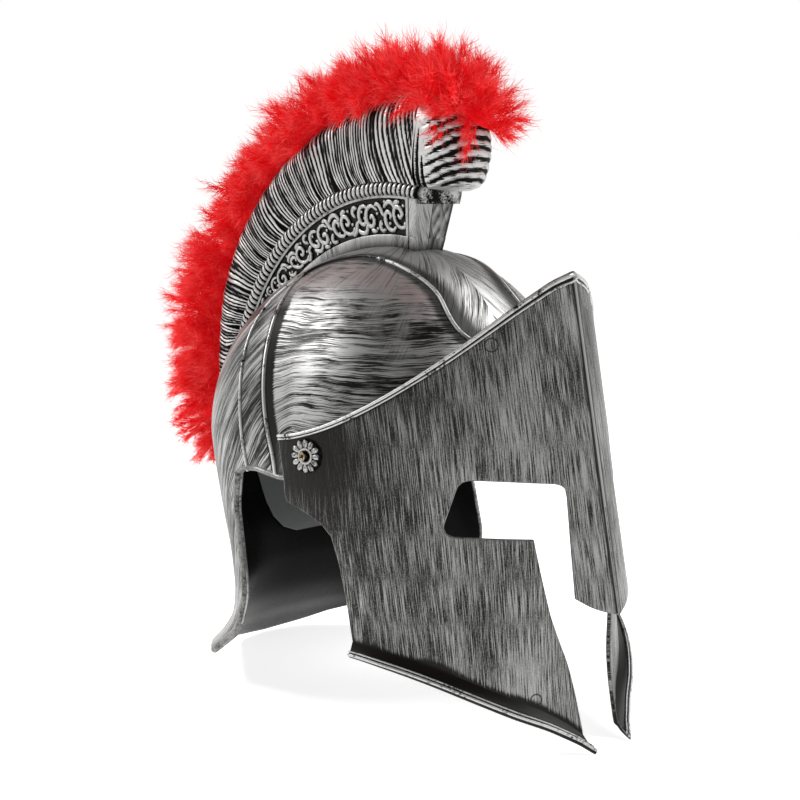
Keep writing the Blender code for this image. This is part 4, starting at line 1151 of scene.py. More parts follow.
def panel_place(along, up, side):
    """Points of the sunk panel, from distance behind its front frame and share of its height."""
    angle = PLINTH_FRAME_END + 0.4 + np.degrees(along / PANEL_MID_R)
    border = np.interp(angle, plinth_angles, plinth_border)
    top = np.maximum(PLINTH_PANEL_TOP_R, border + 0.001)
    low_x = PLINTH_BORDER_HALF - PLINTH_PANEL_DEPTH
    high_x = PLINTH_TOP_HALF - PLINTH_PANEL_DEPTH
    x = (low_x + (high_x - low_x) * up) * side
    return crest_place(angle, border + (top - border) * up, x)


def half_round_ridge():
    """Field ridge of the points of a half-round profile: 1 on its crown and 0 at its foot."""
    return [math.sin(math.radians(a)) for a in np.linspace(0.0, 180.0, 7)] + [0.0, 0.0]


def build_scrolls():
    """Raised scrollwork of both panels, each stroke a tapering half-round line."""
    points, faces, ridge = [], [], []
    start = 0
    rng = random.Random(5)
    strokes = [(number, stroke) for number in range(SCROLL_REPEATS) for stroke in SCROLL_STROKES]
    for side in (1.0, -1.0):
        for number, stroke in strokes:
            shift, lift, swing = rng.uniform(-0.05, 0.05), rng.uniform(-0.06, 0.06), rng.uniform(-0.25, 0.25)
            line = smooth_line(stroke, len(stroke) * 3)
            off = line - line.mean(axis=0)
            line = line + np.stack([-off[:, 1], off[:, 0]], axis=1) * swing
            along = (number + 0.06 + line[:, 0] * 0.94 + shift) * SCROLL_REACH / SCROLL_REPEATS
            along = np.clip(along, 0.0005, SCROLL_REACH - 0.0005)
            up = line[:, 1] + lift
            up = 1.0 - up if number % 2 else up
            up = 0.07 + 0.86 * np.clip(up, 0.0, 1.0)
            rise = panel_place(along, up + 0.02, side) - panel_place(along, up - 0.02, side)
            back = panel_place(along + 0.0005, up, side) - panel_place(along - 0.0005, up, side)
            outward = np.cross(back, rise)
            outward = outward * np.sign(outward[:, 0] * side)[:, None]
            height = np.linalg.norm(panel_place(along, 1.0, side) - panel_place(along, 0.0, side), axis=1)
            scale = np.clip(height / 0.0185, 0.45, 1.0)
            swell = 0.45 + 0.55 * np.sin(math.pi * np.linspace(0.0, 1.0, len(line))) ** 0.45
            shapes = [half_round(SCROLL_WIDTH * a * b, 0.0016 * a, 0.0003) for a, b in zip(swell, scale)]
            strip, strip_faces = run_profile(panel_place(along, up, side), outward, shapes)
            points.append(strip)
            faces += [tuple(index + start for index in face) for face in strip_faces]
            ridge.append(np.tile(half_round_ridge(), len(line)))
            start += len(strip)
    piece = new_piece("crest_scrolls", np.concatenate(points), faces, {"ridge": np.concatenate(ridge)})
    turn_outward(piece)
    piece.data.shade_smooth()
    return piece


def dome_pattern(name, radius, rise):
    """A small half-round boss, its field ridge rising to 1 at the top."""
    points, ridge = [(0.0, 0.0, rise)], [1.0]
    for tilt in (35.0, 65.0, 90.0):
        for k in range(8):
            a = math.radians(45.0 * k)
            spread = radius * math.sin(math.radians(tilt))
            points.append((spread * math.cos(a), spread * math.sin(a), rise * math.cos(math.radians(tilt))))
            ridge.append(math.cos(math.radians(tilt)))
    faces = [(0, 1 + k, 1 + (k + 1) % 8) for k in range(8)]
    faces += [tuple(1 + index for index in face) for face in tube_faces(3, 8)]
    pattern = new_piece(name, points, faces, {"ridge": ridge}, centre=ORIGIN)
    pattern.data.shade_smooth()
    return pattern


def named_field(group, name, kind):
    node = add_node(group, "GeometryNodeInputNamedAttribute", {"data_type": kind}, Name=name)
    return node.outputs["Attribute"]


def plant_copies(group, given, result, points, **settings):
    """Copies on points, made real and given the group's finish, as the group's result."""
    copies = add_node(group, "GeometryNodeInstanceOnPoints", None, Points=points, **settings)
    real = add_node(group, "GeometryNodeRealizeInstances", None, Geometry=copies.outputs["Instances"])
    dressed = add_node(group, "GeometryNodeSetMaterial", None, Geometry=real.outputs["Geometry"])
    set_sockets(dressed, Material=given.outputs["Finish"])
    set_sockets(result, Geometry=dressed.outputs["Geometry"])


def run_group(piece, group, settings, sharp):
    """Run a Geometry Nodes group on the piece, its inputs set by their identifiers, and make it real."""
    modifier = piece.modifiers.new(group.name, "NODES")
    modifier.node_group = group
    for end in group.interface.items_tree:
        if end.item_type == "SOCKET" and end.in_out == "INPUT" and end.name in settings:
            modifier[end.identifier] = settings[end.name]
    finished(piece, sharp)


def scatter(name, places, turns, pattern, finish, centre=HELMET_CENTRE):
    """One piece of many copies of a pattern object, set by Geometry Nodes at places."""
    points = new_piece(name, places, [], {"turn": turns}, centre=centre)
    ends = (("Geometry", "Geometry"), ("Pattern", "Object"), ("Finish", "Material"))
    group, given, result = new_group(name + "_copies", "GeometryNodeTree", ends, ends[:1])
    info = add_node(group, "GeometryNodeObjectInfo", None, Object=given.outputs["Pattern"])
    turn = named_field(group, "turn", "FLOAT_VECTOR")
    rotation = add_node(group, "FunctionNodeEulerToRotation", None, Euler=turn)
    plant_copies(
        group, given, result, given.outputs["Geometry"],
        Instance=info.outputs["Geometry"], Rotation=rotation.outputs["Rotation"],
    )
    run_group(points, group, {"Pattern": pattern, "Finish": finish}, 60.0)
    bpy.data.objects.remove(pattern)
    return points


def make_plinth_silver():
    material, tree, shader = new_finish("plinth_brushed_silver")
    round_way, up_way, _ = axes(brushing_map(tree))
    paint, relief = brush_strokes(
        round_way + up_way * 0.45, up_way, streak_mm=0.5, length=18.0, cover=0.57,
        patches=0.30, broken=0.3, softness=0.12, seed=6.0,
    )
    # No paint in the crevices, with painted shade along the foot and on the cap's shadowed half
    painted = paint * (1.0 - field(tree, "crevice_and_painted_shade"))
    silver_over_black(shader, painted, relief, (0.43, 0.43, 0.42), BLACK, (0.36, 0.46), 0.6)
    return material


def make_relief_silver(name, combed, low, high, rough_grain, silver):
    """Black moulding whose raised parts alone caught the silver, in hair lines where it is combed."""
    material, tree, shader = new_finish(name)
    place = object_place(tree)
    fine_place, fine_scale = place, 1100.0
    if combed:
        stretch = {"s0": brushing_map(tree), "s1": (1900.0, 90.0, 1.0)}
        stretched = add_node(tree, "ShaderNodeVectorMath", {"operation": "MULTIPLY"}, **stretch)
        fine_place, fine_scale = Signal(stretched.outputs[0]), 1.0
    fine = noise(fine_place, fine_scale, 3.0, 0.6)
    ridge = field(tree, "ridge")
    height = ridge + (fine - 0.5) * rough_grain + (noise(place, 120.0) - 0.5) * (0.3 if combed else 0.7)
    paint = height.step(low, high) * ridge.step(0.15, 0.40)
    silver_over_black(
        shader, paint, fine, silver, (0.004, 0.004, 0.0035), (0.40, 0.42), 0.7, depth=0.06, level=0.04
    )
    return material


plinth_silver = make_plinth_silver()
relief_silver = make_relief_silver(
    "relief_silver", combed=False, low=0.44, high=0.82, rough_grain=1.2, silver=SILVER
)
panel_black = hazy_finish(
    "panel_black", grain=260.0, detail=3.0,
    dark=(0.003,) * 3, light=(0.012, 0.012, 0.011), gloss=(0.35, 0.55), level=0.10,
)
plinth = build_plinth()
plinth.data.materials.append(plinth_silver)
plinth.data.materials.append(panel_black)
turn_outward(plinth)
finished(plinth, 28.0)
scrolls = build_scrolls()
scrolls.data.materials.append(relief_silver)
dot_places, dot_turns = [], []
for side in (1.0, -1.0):
    for number in range(SCROLL_REPEATS):
        for along, up in SCROLL_DOTS:
            up = 1.0 - up if number % 2 else up
            spot = min((number + along) * SCROLL_REACH / SCROLL_REPEATS + 0.001, SCROLL_REACH)
            dot_places.append(panel_place(spot, 0.07 + 0.86 * up, side))
            dot_turns.append((0.0, side * math.radians(90.0), 0.0))
dot_pattern = dome_pattern("scroll_dot", radius=0.0012, rise=0.0013)
dots = scatter("crest_dots", dot_places, dot_turns, dot_pattern, relief_silver)
for piece in (plinth, scrolls, dots):
    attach(piece, "helmet")
    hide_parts("crest_plinth")


# The ribbed band between plinth and mane: a cord of short rounded bars cast along each side,
# silver on their crowns and black between them.
BAND_INNER_R = 0.1376
BAND_OUTER_R = 0.1450
BAND_MID_R = (BAND_INNER_R + BAND_OUTER_R) / 2.0
BAND_REACH = (BAND_OUTER_R - BAND_INNER_R) / 2.0
BAND_HALF = 0.0180
BAND_RIBS = 84
RIB_HALF_WIDTH = 0.0016
RIB_TILT = math.radians(12.0)


def rib_pattern():
    """The two bars of one rib, built straight above the crest's centre."""
    a = np.radians(np.linspace(-90.0, 90.0, 9))
    swell = 0.62 + 0.38 * np.cos(a)
    shapes = [half_round(RIB_HALF_WIDTH * 2.0 * size, 0.0012 * size, 0.0016) for size in swell]
    points, faces = [], []
    for side in (1.0, -1.0):
        x = side * (BAND_HALF - 0.0040 + 0.0036 * np.cos(a))
        z = BAND_MID_R + BAND_REACH * np.sin(a)
        path = np.stack([x, -np.sin(RIB_TILT) * (z - BAND_MID_R), z], axis=-1)
        outward = np.stack([side * np.cos(a) + side * 0.05, 0.0 * a, np.sin(a)], axis=-1)
        bar, bar_faces = run_profile(path, outward, shapes)
        faces += [tuple(index + len(points) for index in face) for face in bar_faces]
        points += bar.tolist()
    pattern = new_piece("rib", points, faces, {"ridge": half_round_ridge() * 18}, centre=ORIGIN)
    turn_outward(pattern)
    pattern.data.shade_smooth()
    return pattern


def build_band_core():
    """The cord's black ground between the bars."""
    angle = np.linspace(CREST_FRONT_ANGLE, CREST_REAR_ANGLE, 180)
    a = np.radians(np.linspace(-90.0, 90.0, 9))
    x = BAND_HALF - 0.0042 + 0.0034 * np.cos(a)
    r = BAND_MID_R + BAND_REACH * 0.98 * np.sin(a)
    ring_x = np.concatenate([x, -x[::-1]])
    ring_r = np.concatenate([r, r[::-1]])
    points = crest_place(angle[:, None], ring_r[None], ring_x[None])
    faces = tube_faces(len(angle), len(ring_x), capped=True)
    fields = {"ridge": np.zeros(points.size // 3)}
    piece = new_piece("crest_band_ground", points.reshape(-1, 3), faces, fields)
    turn_outward(piece)
    piece.data.materials.append(relief_silver)
    finished(piece, 40.0)
    return piece


rib_angles = np.linspace(CREST_FRONT_ANGLE + 0.3, CREST_REAR_ANGLE - 0.7, BAND_RIBS)
rib_places = [(0.0, 0.0, SKULL_MID_Z)] * BAND_RIBS
rib_turns = [(-math.radians(angle), 0.0, 0.0) for angle in rib_angles]
ribs = scatter("crest_band_ribs", rib_places, rib_turns, rib_pattern(), relief_silver)
for piece in (build_band_core(), ribs):
    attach(piece, "helmet")
    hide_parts("crest_mane")


# The mane: a tall hollow fin moulded as combed strands that fan out of the band in tufts of
# six, closed at the front by a rounded bulge with cross grooves, on a short lumpy neck.
MANE_COLUMNS = ("angle", "radius", "half_width")
MANE_ROWS = (
    (-20.0, 0.1890, 0.0160),
    (-15.0, 0.1950, 0.0215),
    (-9.0, 0.1975, 0.0225),
    (1.5, 0.1935, 0.0222),
    (10.0, 0.1900, 0.0218),
    (20.0, 0.1870, 0.0214),
    (35.0, 0.1825, 0.0210),
    (51.0, 0.1775, 0.0206),
    (60.0, 0.1740, 0.0204),
    (74.0, 0.1640, 0.0200),
    (90.0, 0.1560, 0.0194),
    (104.0, 0.1510, 0.0186),
    (115.0, 0.1475, 0.0176),
)
MANE_PROFILE = (
    (0.00, 0.80), (0.08, 0.89), (0.20, 0.96), (0.35, 1.00), (0.50, 1.01), (0.62, 1.00),
    (0.75, 0.95), (0.85, 0.82), (0.93, 0.60), (0.98, 0.33), (1.00, 0.0),
)
MANE_TUFT = 6
MANE_TUFTS = 24
MANE_GROOVE = 0.0012
BULGE_SLIVERS = ((0.2, 0.92, 1.4), (4.0, 0.62, 1.3), (7.6, 0.34, 1.2))
BULGE_REACH = (
    (0.00, 0.0180), (0.06, 0.0245), (0.15, 0.0275), (0.30, 0.0285), (0.50, 0.0275),
    (0.65, 0.0245), (0.78, 0.0200), (0.88, 0.0145), (0.95, 0.0090), (1.00, 0.0),
)
BULGE_STRIPE = 0.0058
BULGE_STRIPE_DROP = 0.0062
BULGE_GROOVE = 0.0016


def mane_value(angle, name):
    angles = column(MANE_ROWS, MANE_COLUMNS, "angle")
    return smooth_value(angles, column(MANE_ROWS, MANE_COLUMNS, name), angle)


def mane_profile(rows):
    """Share of height and of half width up one side of the mane, in even steps of its outline."""
    height = np.linspace(0.0, 1.0, 200)
    knots = np.array(MANE_PROFILE)
    width = smooth_value(knots[:, 0], knots[:, 1], height)
    return evenly(np.stack([height * 2.2, width], axis=-1), rows) / (2.2, 1.0)


def strand_height(angle, up):
    """Ridge height, 0 in a groove and 1 on a strand, at crest angles and shares up the mane."""
    off_corner = angle - CREST_FRONT_ANGLE
    swept = angle + 4.0 * (1.0 - up) ** 1.3 * np.exp(-off_corner / 9.0)
    spread = (swept - CREST_FRONT_ANGLE) / (CREST_REAR_ANGLE - CREST_FRONT_ANGLE) * MANE_TUFTS
    uneven = 0.16 * np.sin(spread * 1.7 + 0.4)
    spread = spread + uneven + 0.14 * (1.0 - up) ** 2 + 0.05 * np.sin(up * 5.0 + spread)
    number = np.floor(spread)
    local = spread - number - 0.5
    low = np.clip(1.0 - up / (0.42 + 0.16 * np.sin(number * 3.3)), 0.0, 1.0)
    gather = 1.0 - (0.15 + 0.09 * np.sin(number * 5.1)) * low
    inside = (local - np.sin(number * 12.9) * 0.07 * low) / gather
    phase = (inside + 0.5) * MANE_TUFT
    strand = np.clip(np.floor(phase), 0, MANE_TUFT - 1)
    count = number * MANE_TUFT + strand
    tall = 0.80 + 0.20 * np.sin(count * 7.7)
    ridge = np.abs(np.sin(np.clip(phase, 0.0, MANE_TUFT) * math.pi)) ** 0.8 * tall
    ridge = ridge * (1.0 - 0.14 * np.clip(np.sin(up * 7.0 + count * 2.3), 0.0, 1.0) ** 3)
    in_wedge = np.clip((np.abs(inside) - 0.5) / 0.04, 0.0, 1.0)
    ridge = ridge * (1.0 - in_wedge) - 0.7 * in_wedge
    share = np.clip(off_corner / 0.8, 0.0, 1.0)
    return ridge * share + 0.86 * (1.0 - share)


def build_mane(angle_steps, rows):
    profile = mane_profile(rows)
    up, width = profile[:, 0], profile[:, 1]
    angle = np.linspace(CREST_FRONT_ANGLE, CREST_REAR_ANGLE - 0.5, angle_steps + 1)
    outer = mane_value(angle, "radius")[None]
    half = mane_value(angle, "half_width")[None]
    far, high = np.meshgrid(angle, up)
    ridge = strand_height(far, high)
    edge = np.clip(high / 0.03, 0.0, 1.0) * np.clip((1.0 - high) / 0.02 + 0.35, 0.0, 1.0)
    lift = (ridge - 0.75) * MANE_GROOVE * edge
    flat_x = half * width[:, None]
    flat_r = BAND_OUTER_R + (outer - BAND_OUTER_R) * up[:, None]
    slope_w = np.gradient(width * 0.021)
    slope_u = np.gradient(up * 0.045)
    size = np.hypot(slope_w, slope_u)
    out_x, out_r = (slope_u / size)[:, None], (-slope_w / size)[:, None]
    x = np.maximum(flat_x + lift * out_x, 0.0)
    x[-1] = 0.0
    r = flat_r + lift * out_r
    points, faces, ridges = [], [], []
    start = 0
    for side in (1.0, -1.0):
        points.append(crest_place(far, r, x * side).reshape(-1, 3))
        faces += list(grid_faces(*x.shape, start))
        ridges.append(np.clip(ridge, 0.0, 1.0).ravel())
        start += x.size
    rear = [(k + 1) * (angle_steps + 1) - 1 for k in range(len(up))]
    rear_ring = rear + [index + x.size for index in rear[::-1][1:]]
    faces.append(tuple(rear_ring))
    combed = np.stack([np.radians(far).ravel() * 0.17, r.ravel()], axis=-1)
    uv = np.concatenate([combed, combed + (0.5, 0.0)])
    fields = {"ridge": np.concatenate(ridges)}
    return new_piece("crest_mane_strands", np.concatenate(points), faces, fields, uv)


def build_bulge(around, rows):
    """Rounded front of the mane, swept from one side of its first section to the other."""
    profile = mane_profile(rows)
    up, width = profile[:, 0], profile[:, 1]
    outer = float(mane_value(CREST_FRONT_ANGLE, "radius"))
    half = float(mane_value(CREST_FRONT_ANGLE, "half_width"))
    knots = np.array(BULGE_REACH)
    reach = smooth_value(knots[:, 0], knots[:, 1], up)[:, None]
    turn = np.linspace(-1.0, 1.0, around + 1)[None]
    turn = 90.0 * np.sign(turn) * (1.0 - (1.0 - np.abs(turn)) ** 1.35)
    s, c = np.sin(np.radians(turn)), np.clip(np.cos(np.radians(turn)), 0.0, 1.0)
    radius = (BAND_OUTER_R + (outer - BAND_OUTER_R) * up)[:, None]
    x = half * width[:, None] * np.sign(s) * np.abs(s) ** 0.8
    ahead = reach * c**0.8
    base = crest_place(CREST_FRONT_ANGLE, radius, x)
    front = math.radians(CREST_FRONT_ANGLE)
    forward = np.array((0.0, -math.cos(front), math.sin(front)))
    place = base + ahead[..., None] * forward
    high = place[..., 2] - SKULL_MID_Z
    phase = (high + BULGE_STRIPE_DROP * (turn / 60.0) ** 2) / BULGE_STRIPE
    wave = 0.02 * np.sin(turn / 4.3 + high * 190.0) + 0.07 * np.sin(turn / 21.0 + high * 300.0)
    wave = wave + 0.03 * np.sin(turn * 1.7 + high * 900.0)
    stripe = np.abs(np.sin((phase + wave) * math.pi)) ** 0.9
    stripe = stripe * (0.88 + 0.12 * np.sin(turn / 3.1 + high * 700.0))
    end = 82.0 + 5.0 * np.sin(high * 620.0)
    fade = np.clip((end - np.abs(turn)) / 20.0, 0.0, 1.0) * np.clip((up[:, None] - 0.02) / 0.05, 0.0, 1.0)
    fade = fade * fade * (3.0 - 2.0 * fade)
    ridge = 0.92 - (0.92 - stripe) * fade ** 0.7
    off_corner = ahead * 1000.0
    for foot, top, half in BULGE_SLIVERS:
        centre = foot - 2.6 * up[:, None]
        width = half * np.clip((top - up[:, None]) / top, 0.0, 1.0) ** 0.5 + 0.001
        sliver = np.clip(1.6 - np.abs(off_corner - centre) / width, 0.0, 1.0) * (up[:, None] < top)
        ridge = np.minimum(ridge, 0.92 - 1.0 * sliver)
    along_turn = np.gradient(place, axis=1)
    along_up = np.gradient(place, axis=0)
    outward = np.cross(along_turn, along_up)
    outward = outward / np.maximum(np.linalg.norm(outward, axis=-1), 1e-9)[..., None]
    outward[-1] = (0.0, 0.0, 1.0)
    centre = np.array((0.0, -0.03, SKULL_MID_Z + 0.165))
    outward = outward * np.sign(np.sum(outward * (place - centre), axis=-1))[..., None]
    place = place + outward * ((ridge - 0.92) * BULGE_GROOVE)[..., None]
    floor_centre = place[0].mean(axis=0)
    rings = [floor_centre + (place[0] - floor_centre) * share for share in (0.0, 0.35, 0.7, 0.92)]
    grid = np.concatenate([np.stack(rings), place])
    ridge = np.concatenate([np.full((4, around + 1), 0.25), ridge])
    uv = np.stack([grid[..., 2].ravel(), (grid[..., 0] - grid[..., 1]).ravel()], axis=-1)
    return new_piece(
        "crest_mane_bulge", grid.reshape(-1, 3), list(grid_faces(*grid.shape[:2])),
        {"ridge": np.clip(ridge, 0.0, 1.0).ravel()}, uv,
    )


def build_neck():
    """Lumpy stub between the plinth's front block and the bulge."""
    turn = np.radians(np.linspace(0.0, 360.0, 49)[:-1])[None]
    level = np.linspace(0.0, 1.0, 13)[:, None]
    lump = 0.9 * np.sin(turn * 4.0 + 0.9) * np.sin(level * math.pi) + 0.35 * np.sin(turn * 11.0 + level * 9.0)
    swell = 1.0 + 0.10 * np.sin(level * math.pi) + 0.03 * lump
    x = 0.0135 * np.sign(np.cos(turn)) * np.abs(np.cos(turn)) ** 0.7 * swell
    ahead = np.where(np.sin(turn) < 0.0, 0.0030 * level**2, 0.0)
    y = -0.0272 + (0.0076 + ahead) * np.sign(np.sin(turn)) * np.abs(np.sin(turn)) ** 0.7 * swell
    z = 0.2795 + 0.0125 * level + 0.0 * turn
    ridge = 0.52 + 0.24 * lump
    points = np.stack([x, y, z], axis=-1).reshape(-1, 3)
    return new_piece("crest_neck", points, tube_faces(13, 48), {"ridge": np.clip(ridge, 0.0, 1.0).ravel()})


combed_silver = make_relief_silver(
    "combed_silver", combed=True, low=0.50, high=0.72, rough_grain=1.0, silver=(0.52, 0.52, 0.51)
)
bulge_silver = make_relief_silver(
    "bulge_silver", combed=True, low=0.54, high=0.70, rough_grain=1.8, silver=(0.50, 0.50, 0.49)
)
mane = build_mane(angle_steps=1120, rows=26)
bulge = build_bulge(around=140, rows=84)
neck = build_neck()
for piece, finish in ((mane, combed_silver), (bulge, bulge_silver), (neck, relief_silver)):
    turn_outward(piece, (0.0, HELMET_CENTRE[1], 0.30))
    piece.data.materials.append(finish)
    piece.data.shade_smooth()
    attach(piece, "helmet")
    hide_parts("crest_mane")


# The plume: red marabou, a trim of soft down feathers on a cord, glued along the mane's crown.
# The down is dense and saturated near the cord and breaks into wisps at its edge, painted pale
# there as painted light for the bright surround seen through them; all of it has a faint painted red glow.
PLUME_COLUMNS = ("angle", "radius")
PLUME_ROWS = (
    (-21.5, 0.2060),
    (-18.0, 0.2130),
    (-10.0, 0.2180),
    (5.0, 0.2240),
    (30.0, 0.2200),
    (55.0, 0.2210),
    (70.0, 0.2290),
    (85.0, 0.2210),
    (99.0, 0.2080),
)
PLUME_CORE_HALF = 0.0125
DOWN_LENGTH = 0.0235
DOWN_BARBS = 70
DOWN_TUFTS = 7
DOWN_DENSITIES = (64000.0, 50000.0, 40000.0, 36000.0)


def plume_value(angle):
    angles = column(PLUME_ROWS, PLUME_COLUMNS, "angle")
    return smooth_value(angles, column(PLUME_ROWS, PLUME_COLUMNS, "radius"), angle)


def build_plume_core(first, last, stations, name):
    """Closed tube of matted down over a stretch of the crown, with its feathers' lean and length."""
    angle = np.linspace(first, last, stations)[:, None]
    around = np.radians(np.linspace(0.0, 360.0, 33)[:-1])[None]
    inner = mane_value(np.maximum(angle, MANE_ROWS[0][0]), "radius") - 0.0025
    outer = plume_value(angle) - DOWN_LENGTH * 0.95
    reach = np.maximum((outer - inner) / 2.0, 0.004)
    front_end = np.clip((angle - PLUME_ROWS[0][0]) / 7.0, 0.0, 1.0)
    rear_end = np.clip((PLUME_ROWS[-1][0] - angle) / 7.0, 0.0, 1.0)
    taper = np.sqrt(1.0 - (1.0 - np.minimum(front_end, rear_end)) ** 2) * 0.97 + 0.03
    radius = (inner + outer) / 2.0 + reach * np.cos(around) * taper
    x = PLUME_CORE_HALF * np.sin(around) * taper
    points = crest_place(np.broadcast_to(angle, x.shape), radius, x)
    turn = np.radians(angle)
    trail = np.clip((angle + 14.0) / 14.0, -0.45, 0.28)
    tangent = np.stack([0.0 * turn, np.cos(turn), -np.sin(turn)], axis=-1)
    outward = np.stack([0.0 * turn, np.sin(turn), np.cos(turn)], axis=-1)
    low = np.clip(-np.cos(around), 0.0, 1.0)[..., None]
    lean = tangent * trail[..., None] + outward * (0.14 + 1.05 * low)
    length = np.broadcast_to(0.92 + 0.10 * np.sin(angle * 0.35) + 0.08 * np.sin(angle * 0.83), x.shape)
    fields = {"length": length.ravel(), "tip": 0.0 * x.ravel(), "lean": lean}
    piece = new_piece(name, points.reshape(-1, 3), tube_faces(stations, x.shape[1], capped=True), fields)
    turn_outward(piece)
    return piece


def down_feather(name, seed):
    """One plumelet: a bent quill with long soft barbs all round, each thinning to a point.
    Its field tip runs from 0 at the root to 1 at the barbs' ends."""
    rng = np.random.default_rng(seed)
    loose = seed % 3 == 2
    quill = rng.uniform(0.0125, 0.0160) * (1.45 if loose else 1.0)
    bend = rng.uniform(-0.004, 0.004, 2)
    count = DOWN_BARBS
    share = ((np.arange(count) + 0.5) / count) ** 0.85
    azimuth = np.arange(count) * 2.39996 + rng.normal(0.0, 0.35, count)
    spread = np.radians(rng.uniform(12.0, 46.0, count)) * (0.75 if loose else 1.0)
    reach = rng.uniform(0.0085, 0.0155, count) * (1.10 - 0.45 * share) * (1.15 if loose else 1.0)
    root = np.stack([bend[0] * share**2, bend[1] * share**2, quill * share], axis=-1)
    heading = np.stack([np.cos(azimuth), np.sin(azimuth), 0.0 * azimuth], axis=-1) * np.sin(spread)[:, None]
    heading[:, 2] = np.cos(spread)
    curl = rng.normal(0.0, 0.20, (count, 3)) + (0.0, 0.0, 0.06)
    wave = rng.normal(0.0, 0.10, (count, 3))
    flat = np.cross(heading, rng.normal(0.0, 1.0, (count, 3)))
    flat = flat / np.linalg.norm(flat, axis=1)[:, None]
    points, faces, tip = [], [], []
    for station, half in ((0.0, 0.00017), (0.36, 0.00015), (0.70, 0.00011), (1.0, 0.0)):
        along = heading * station + curl * station**2 + wave * math.sin(station * 7.0)
        place = root + along * reach[:, None]
        if half > 0.0:
            points += [place + flat * half, place - flat * half]
            tip += [station * 0.7 + share * 0.3] * 2
        else:
            points.append(place)
            tip.append(station * 0.7 + share * 0.3)
    order = np.arange(count)
    for step in range(2):
        near, far = order + 2 * step * count, order + 2 * (step + 1) * count
        faces += np.stack([near, near + count, far + count, far], axis=-1).tolist()
    faces += np.stack([order + 4 * count, order + 5 * count, order + 6 * count], axis=-1).tolist()
    fields = {"tip": np.concatenate(tip)}
    return new_piece(name, np.concatenate(points), faces, fields, centre=ORIGIN)


def feather_group():
    """Geometry Nodes that plant the feathers of a collection on a surface, along its normals and lean."""
    ends = (
        ("Geometry", "Geometry"), ("Feathers", "Collection"), ("Finish", "Material"), ("Density", "Float"),
        ("Seed", "Int"),
    )
    group, given, result = new_group("plant_down", "GeometryNodeTree", ends, ends[:1])
    density, seed = given.outputs["Density"], given.outputs["Seed"]
    spots = add_node(group, "GeometryNodeDistributePointsOnFaces", {"distribute_method": "RANDOM"})
    set_sockets(spots, Mesh=given.outputs["Geometry"], Density=density, Seed=seed)

    def drawn(kind, **settings):
        return add_node(group, "FunctionNodeRandomValue", {"data_type": kind}, **settings)

    def added(first, second):
        return add_node(group, "ShaderNodeVectorMath", {"operation": "ADD"}, s0=first, s1=second).outputs[0]

    stray = drawn("FLOAT_VECTOR", s0=(-0.30, -0.30, -0.30), s1=(0.30, 0.30, 0.30), Seed=seed).outputs[0]
    leaning = added(spots.outputs["Normal"], named_field(group, "lean", "FLOAT_VECTOR"))
    aligned = add_node(group, "FunctionNodeAlignRotationToVector", {"axis": "Z"})
    set_sockets(aligned, Vector=added(leaning, stray))
    spin = drawn("FLOAT", s2=0.0, s3=6.283, ID=11).outputs[1]
    axis_spin = add_node(group, "FunctionNodeAxisAngleToRotation", None, Axis=(0.0, 0.0, 1.0), Angle=spin)
    turned = add_node(group, "FunctionNodeRotateRotation", {"rotation_space": "LOCAL"})
    set_sockets(turned, Rotation=aligned.outputs[0], Rotate_By=axis_spin.outputs[0])
    swell = Signal(drawn("FLOAT", s2=0.72, s3=1.22, Seed=5).outputs[1])
    stock = add_node(group, "GeometryNodeCollectionInfo", None, Collection=given.outputs["Feathers"])
    set_sockets(stock, Separate_Children=True, Reset_Children=True)
    plant_copies(
        group, given, result, spots.outputs["Points"], Instance=stock.outputs[0], Pick_Instance=True,
        Instance_Index=drawn("INT", s4=0, s5=DOWN_TUFTS - 1, Seed=9).outputs[2], Rotation=turned.outputs[0],
        Scale=swell * named_field(group, "length", "FLOAT"),
    )
    return group


def make_red_down_painted_light():
    material, tree, shader = new_finish("red_down_painted_light")
    tip = field(tree, "tip") + (noise(object_place(tree), 60.0) - 0.5) * 0.8
    # Painted light: the red turns pale towards the barbs' tips for the surround seen through the thin wisps
    colour = blend_colours(tip.step(0.35, 1.25), (0.80, 0.003, 0.007), (0.98, 0.18, 0.17))
    set_sockets(shader, Base_Color=colour, Roughness=0.62, Specular_IOR_Level=0.14)
    # A faint red emission, a painted glow: the down is no lamp
    set_sockets(shader, Emission_Color=(0.85, 0.012, 0.020, 1.0), Emission_Strength=0.12)
    set_sockets(shader, Sheen_Weight=0.06, Sheen_Roughness=0.4, Sheen_Tint=(1.0, 0.25, 0.25, 1.0))
    return material


red_down_painted_light = make_red_down_painted_light()
feathers = bpy.data.collections.new("feathers")
for number in range(DOWN_TUFTS):
    feather = down_feather("feather_%d" % number, 31 + number)
    feathers.objects.link(feather)
    bpy.context.scene.collection.objects.unlink(feather)
planting = feather_group()
stretches = np.linspace(PLUME_ROWS[0][0], PLUME_ROWS[-1][0], len(DOWN_DENSITIES) + 1)
plume_pieces = [build_plume_core(PLUME_ROWS[0][0], PLUME_ROWS[-1][0], 110, "plume_core")]
plume_pieces[0].data.materials.append(red_down_painted_light)
plume_pieces[0].data.shade_smooth()
for number, density in enumerate(DOWN_DENSITIES):
    down = build_plume_core(stretches[number], stretches[number + 1], 40, "plume_down_%d" % (number + 1))
    settings = {"Feathers": feathers, "Finish": red_down_painted_light, "Density": density, "Seed": 3 + number}
    run_group(down, planting, settings, 180.0)
    plume_pieces.append(down)
for item in list(feathers.objects):
    bpy.data.objects.remove(item)
bpy.data.collections.remove(feathers)
for piece in plume_pieces:
    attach(piece, "helmet")
    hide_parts("plume")


# The rosettes: cast washers of twelve rounded petals, silver over black in the gaps, one at each
# temple under the head of the pivot eyelet.
ROSETTE_PETALS = 12
ROSETTE_X = 0.0987
ROSETTE_TILT = 16.0
ROSETTE_HOLE = 0.0027
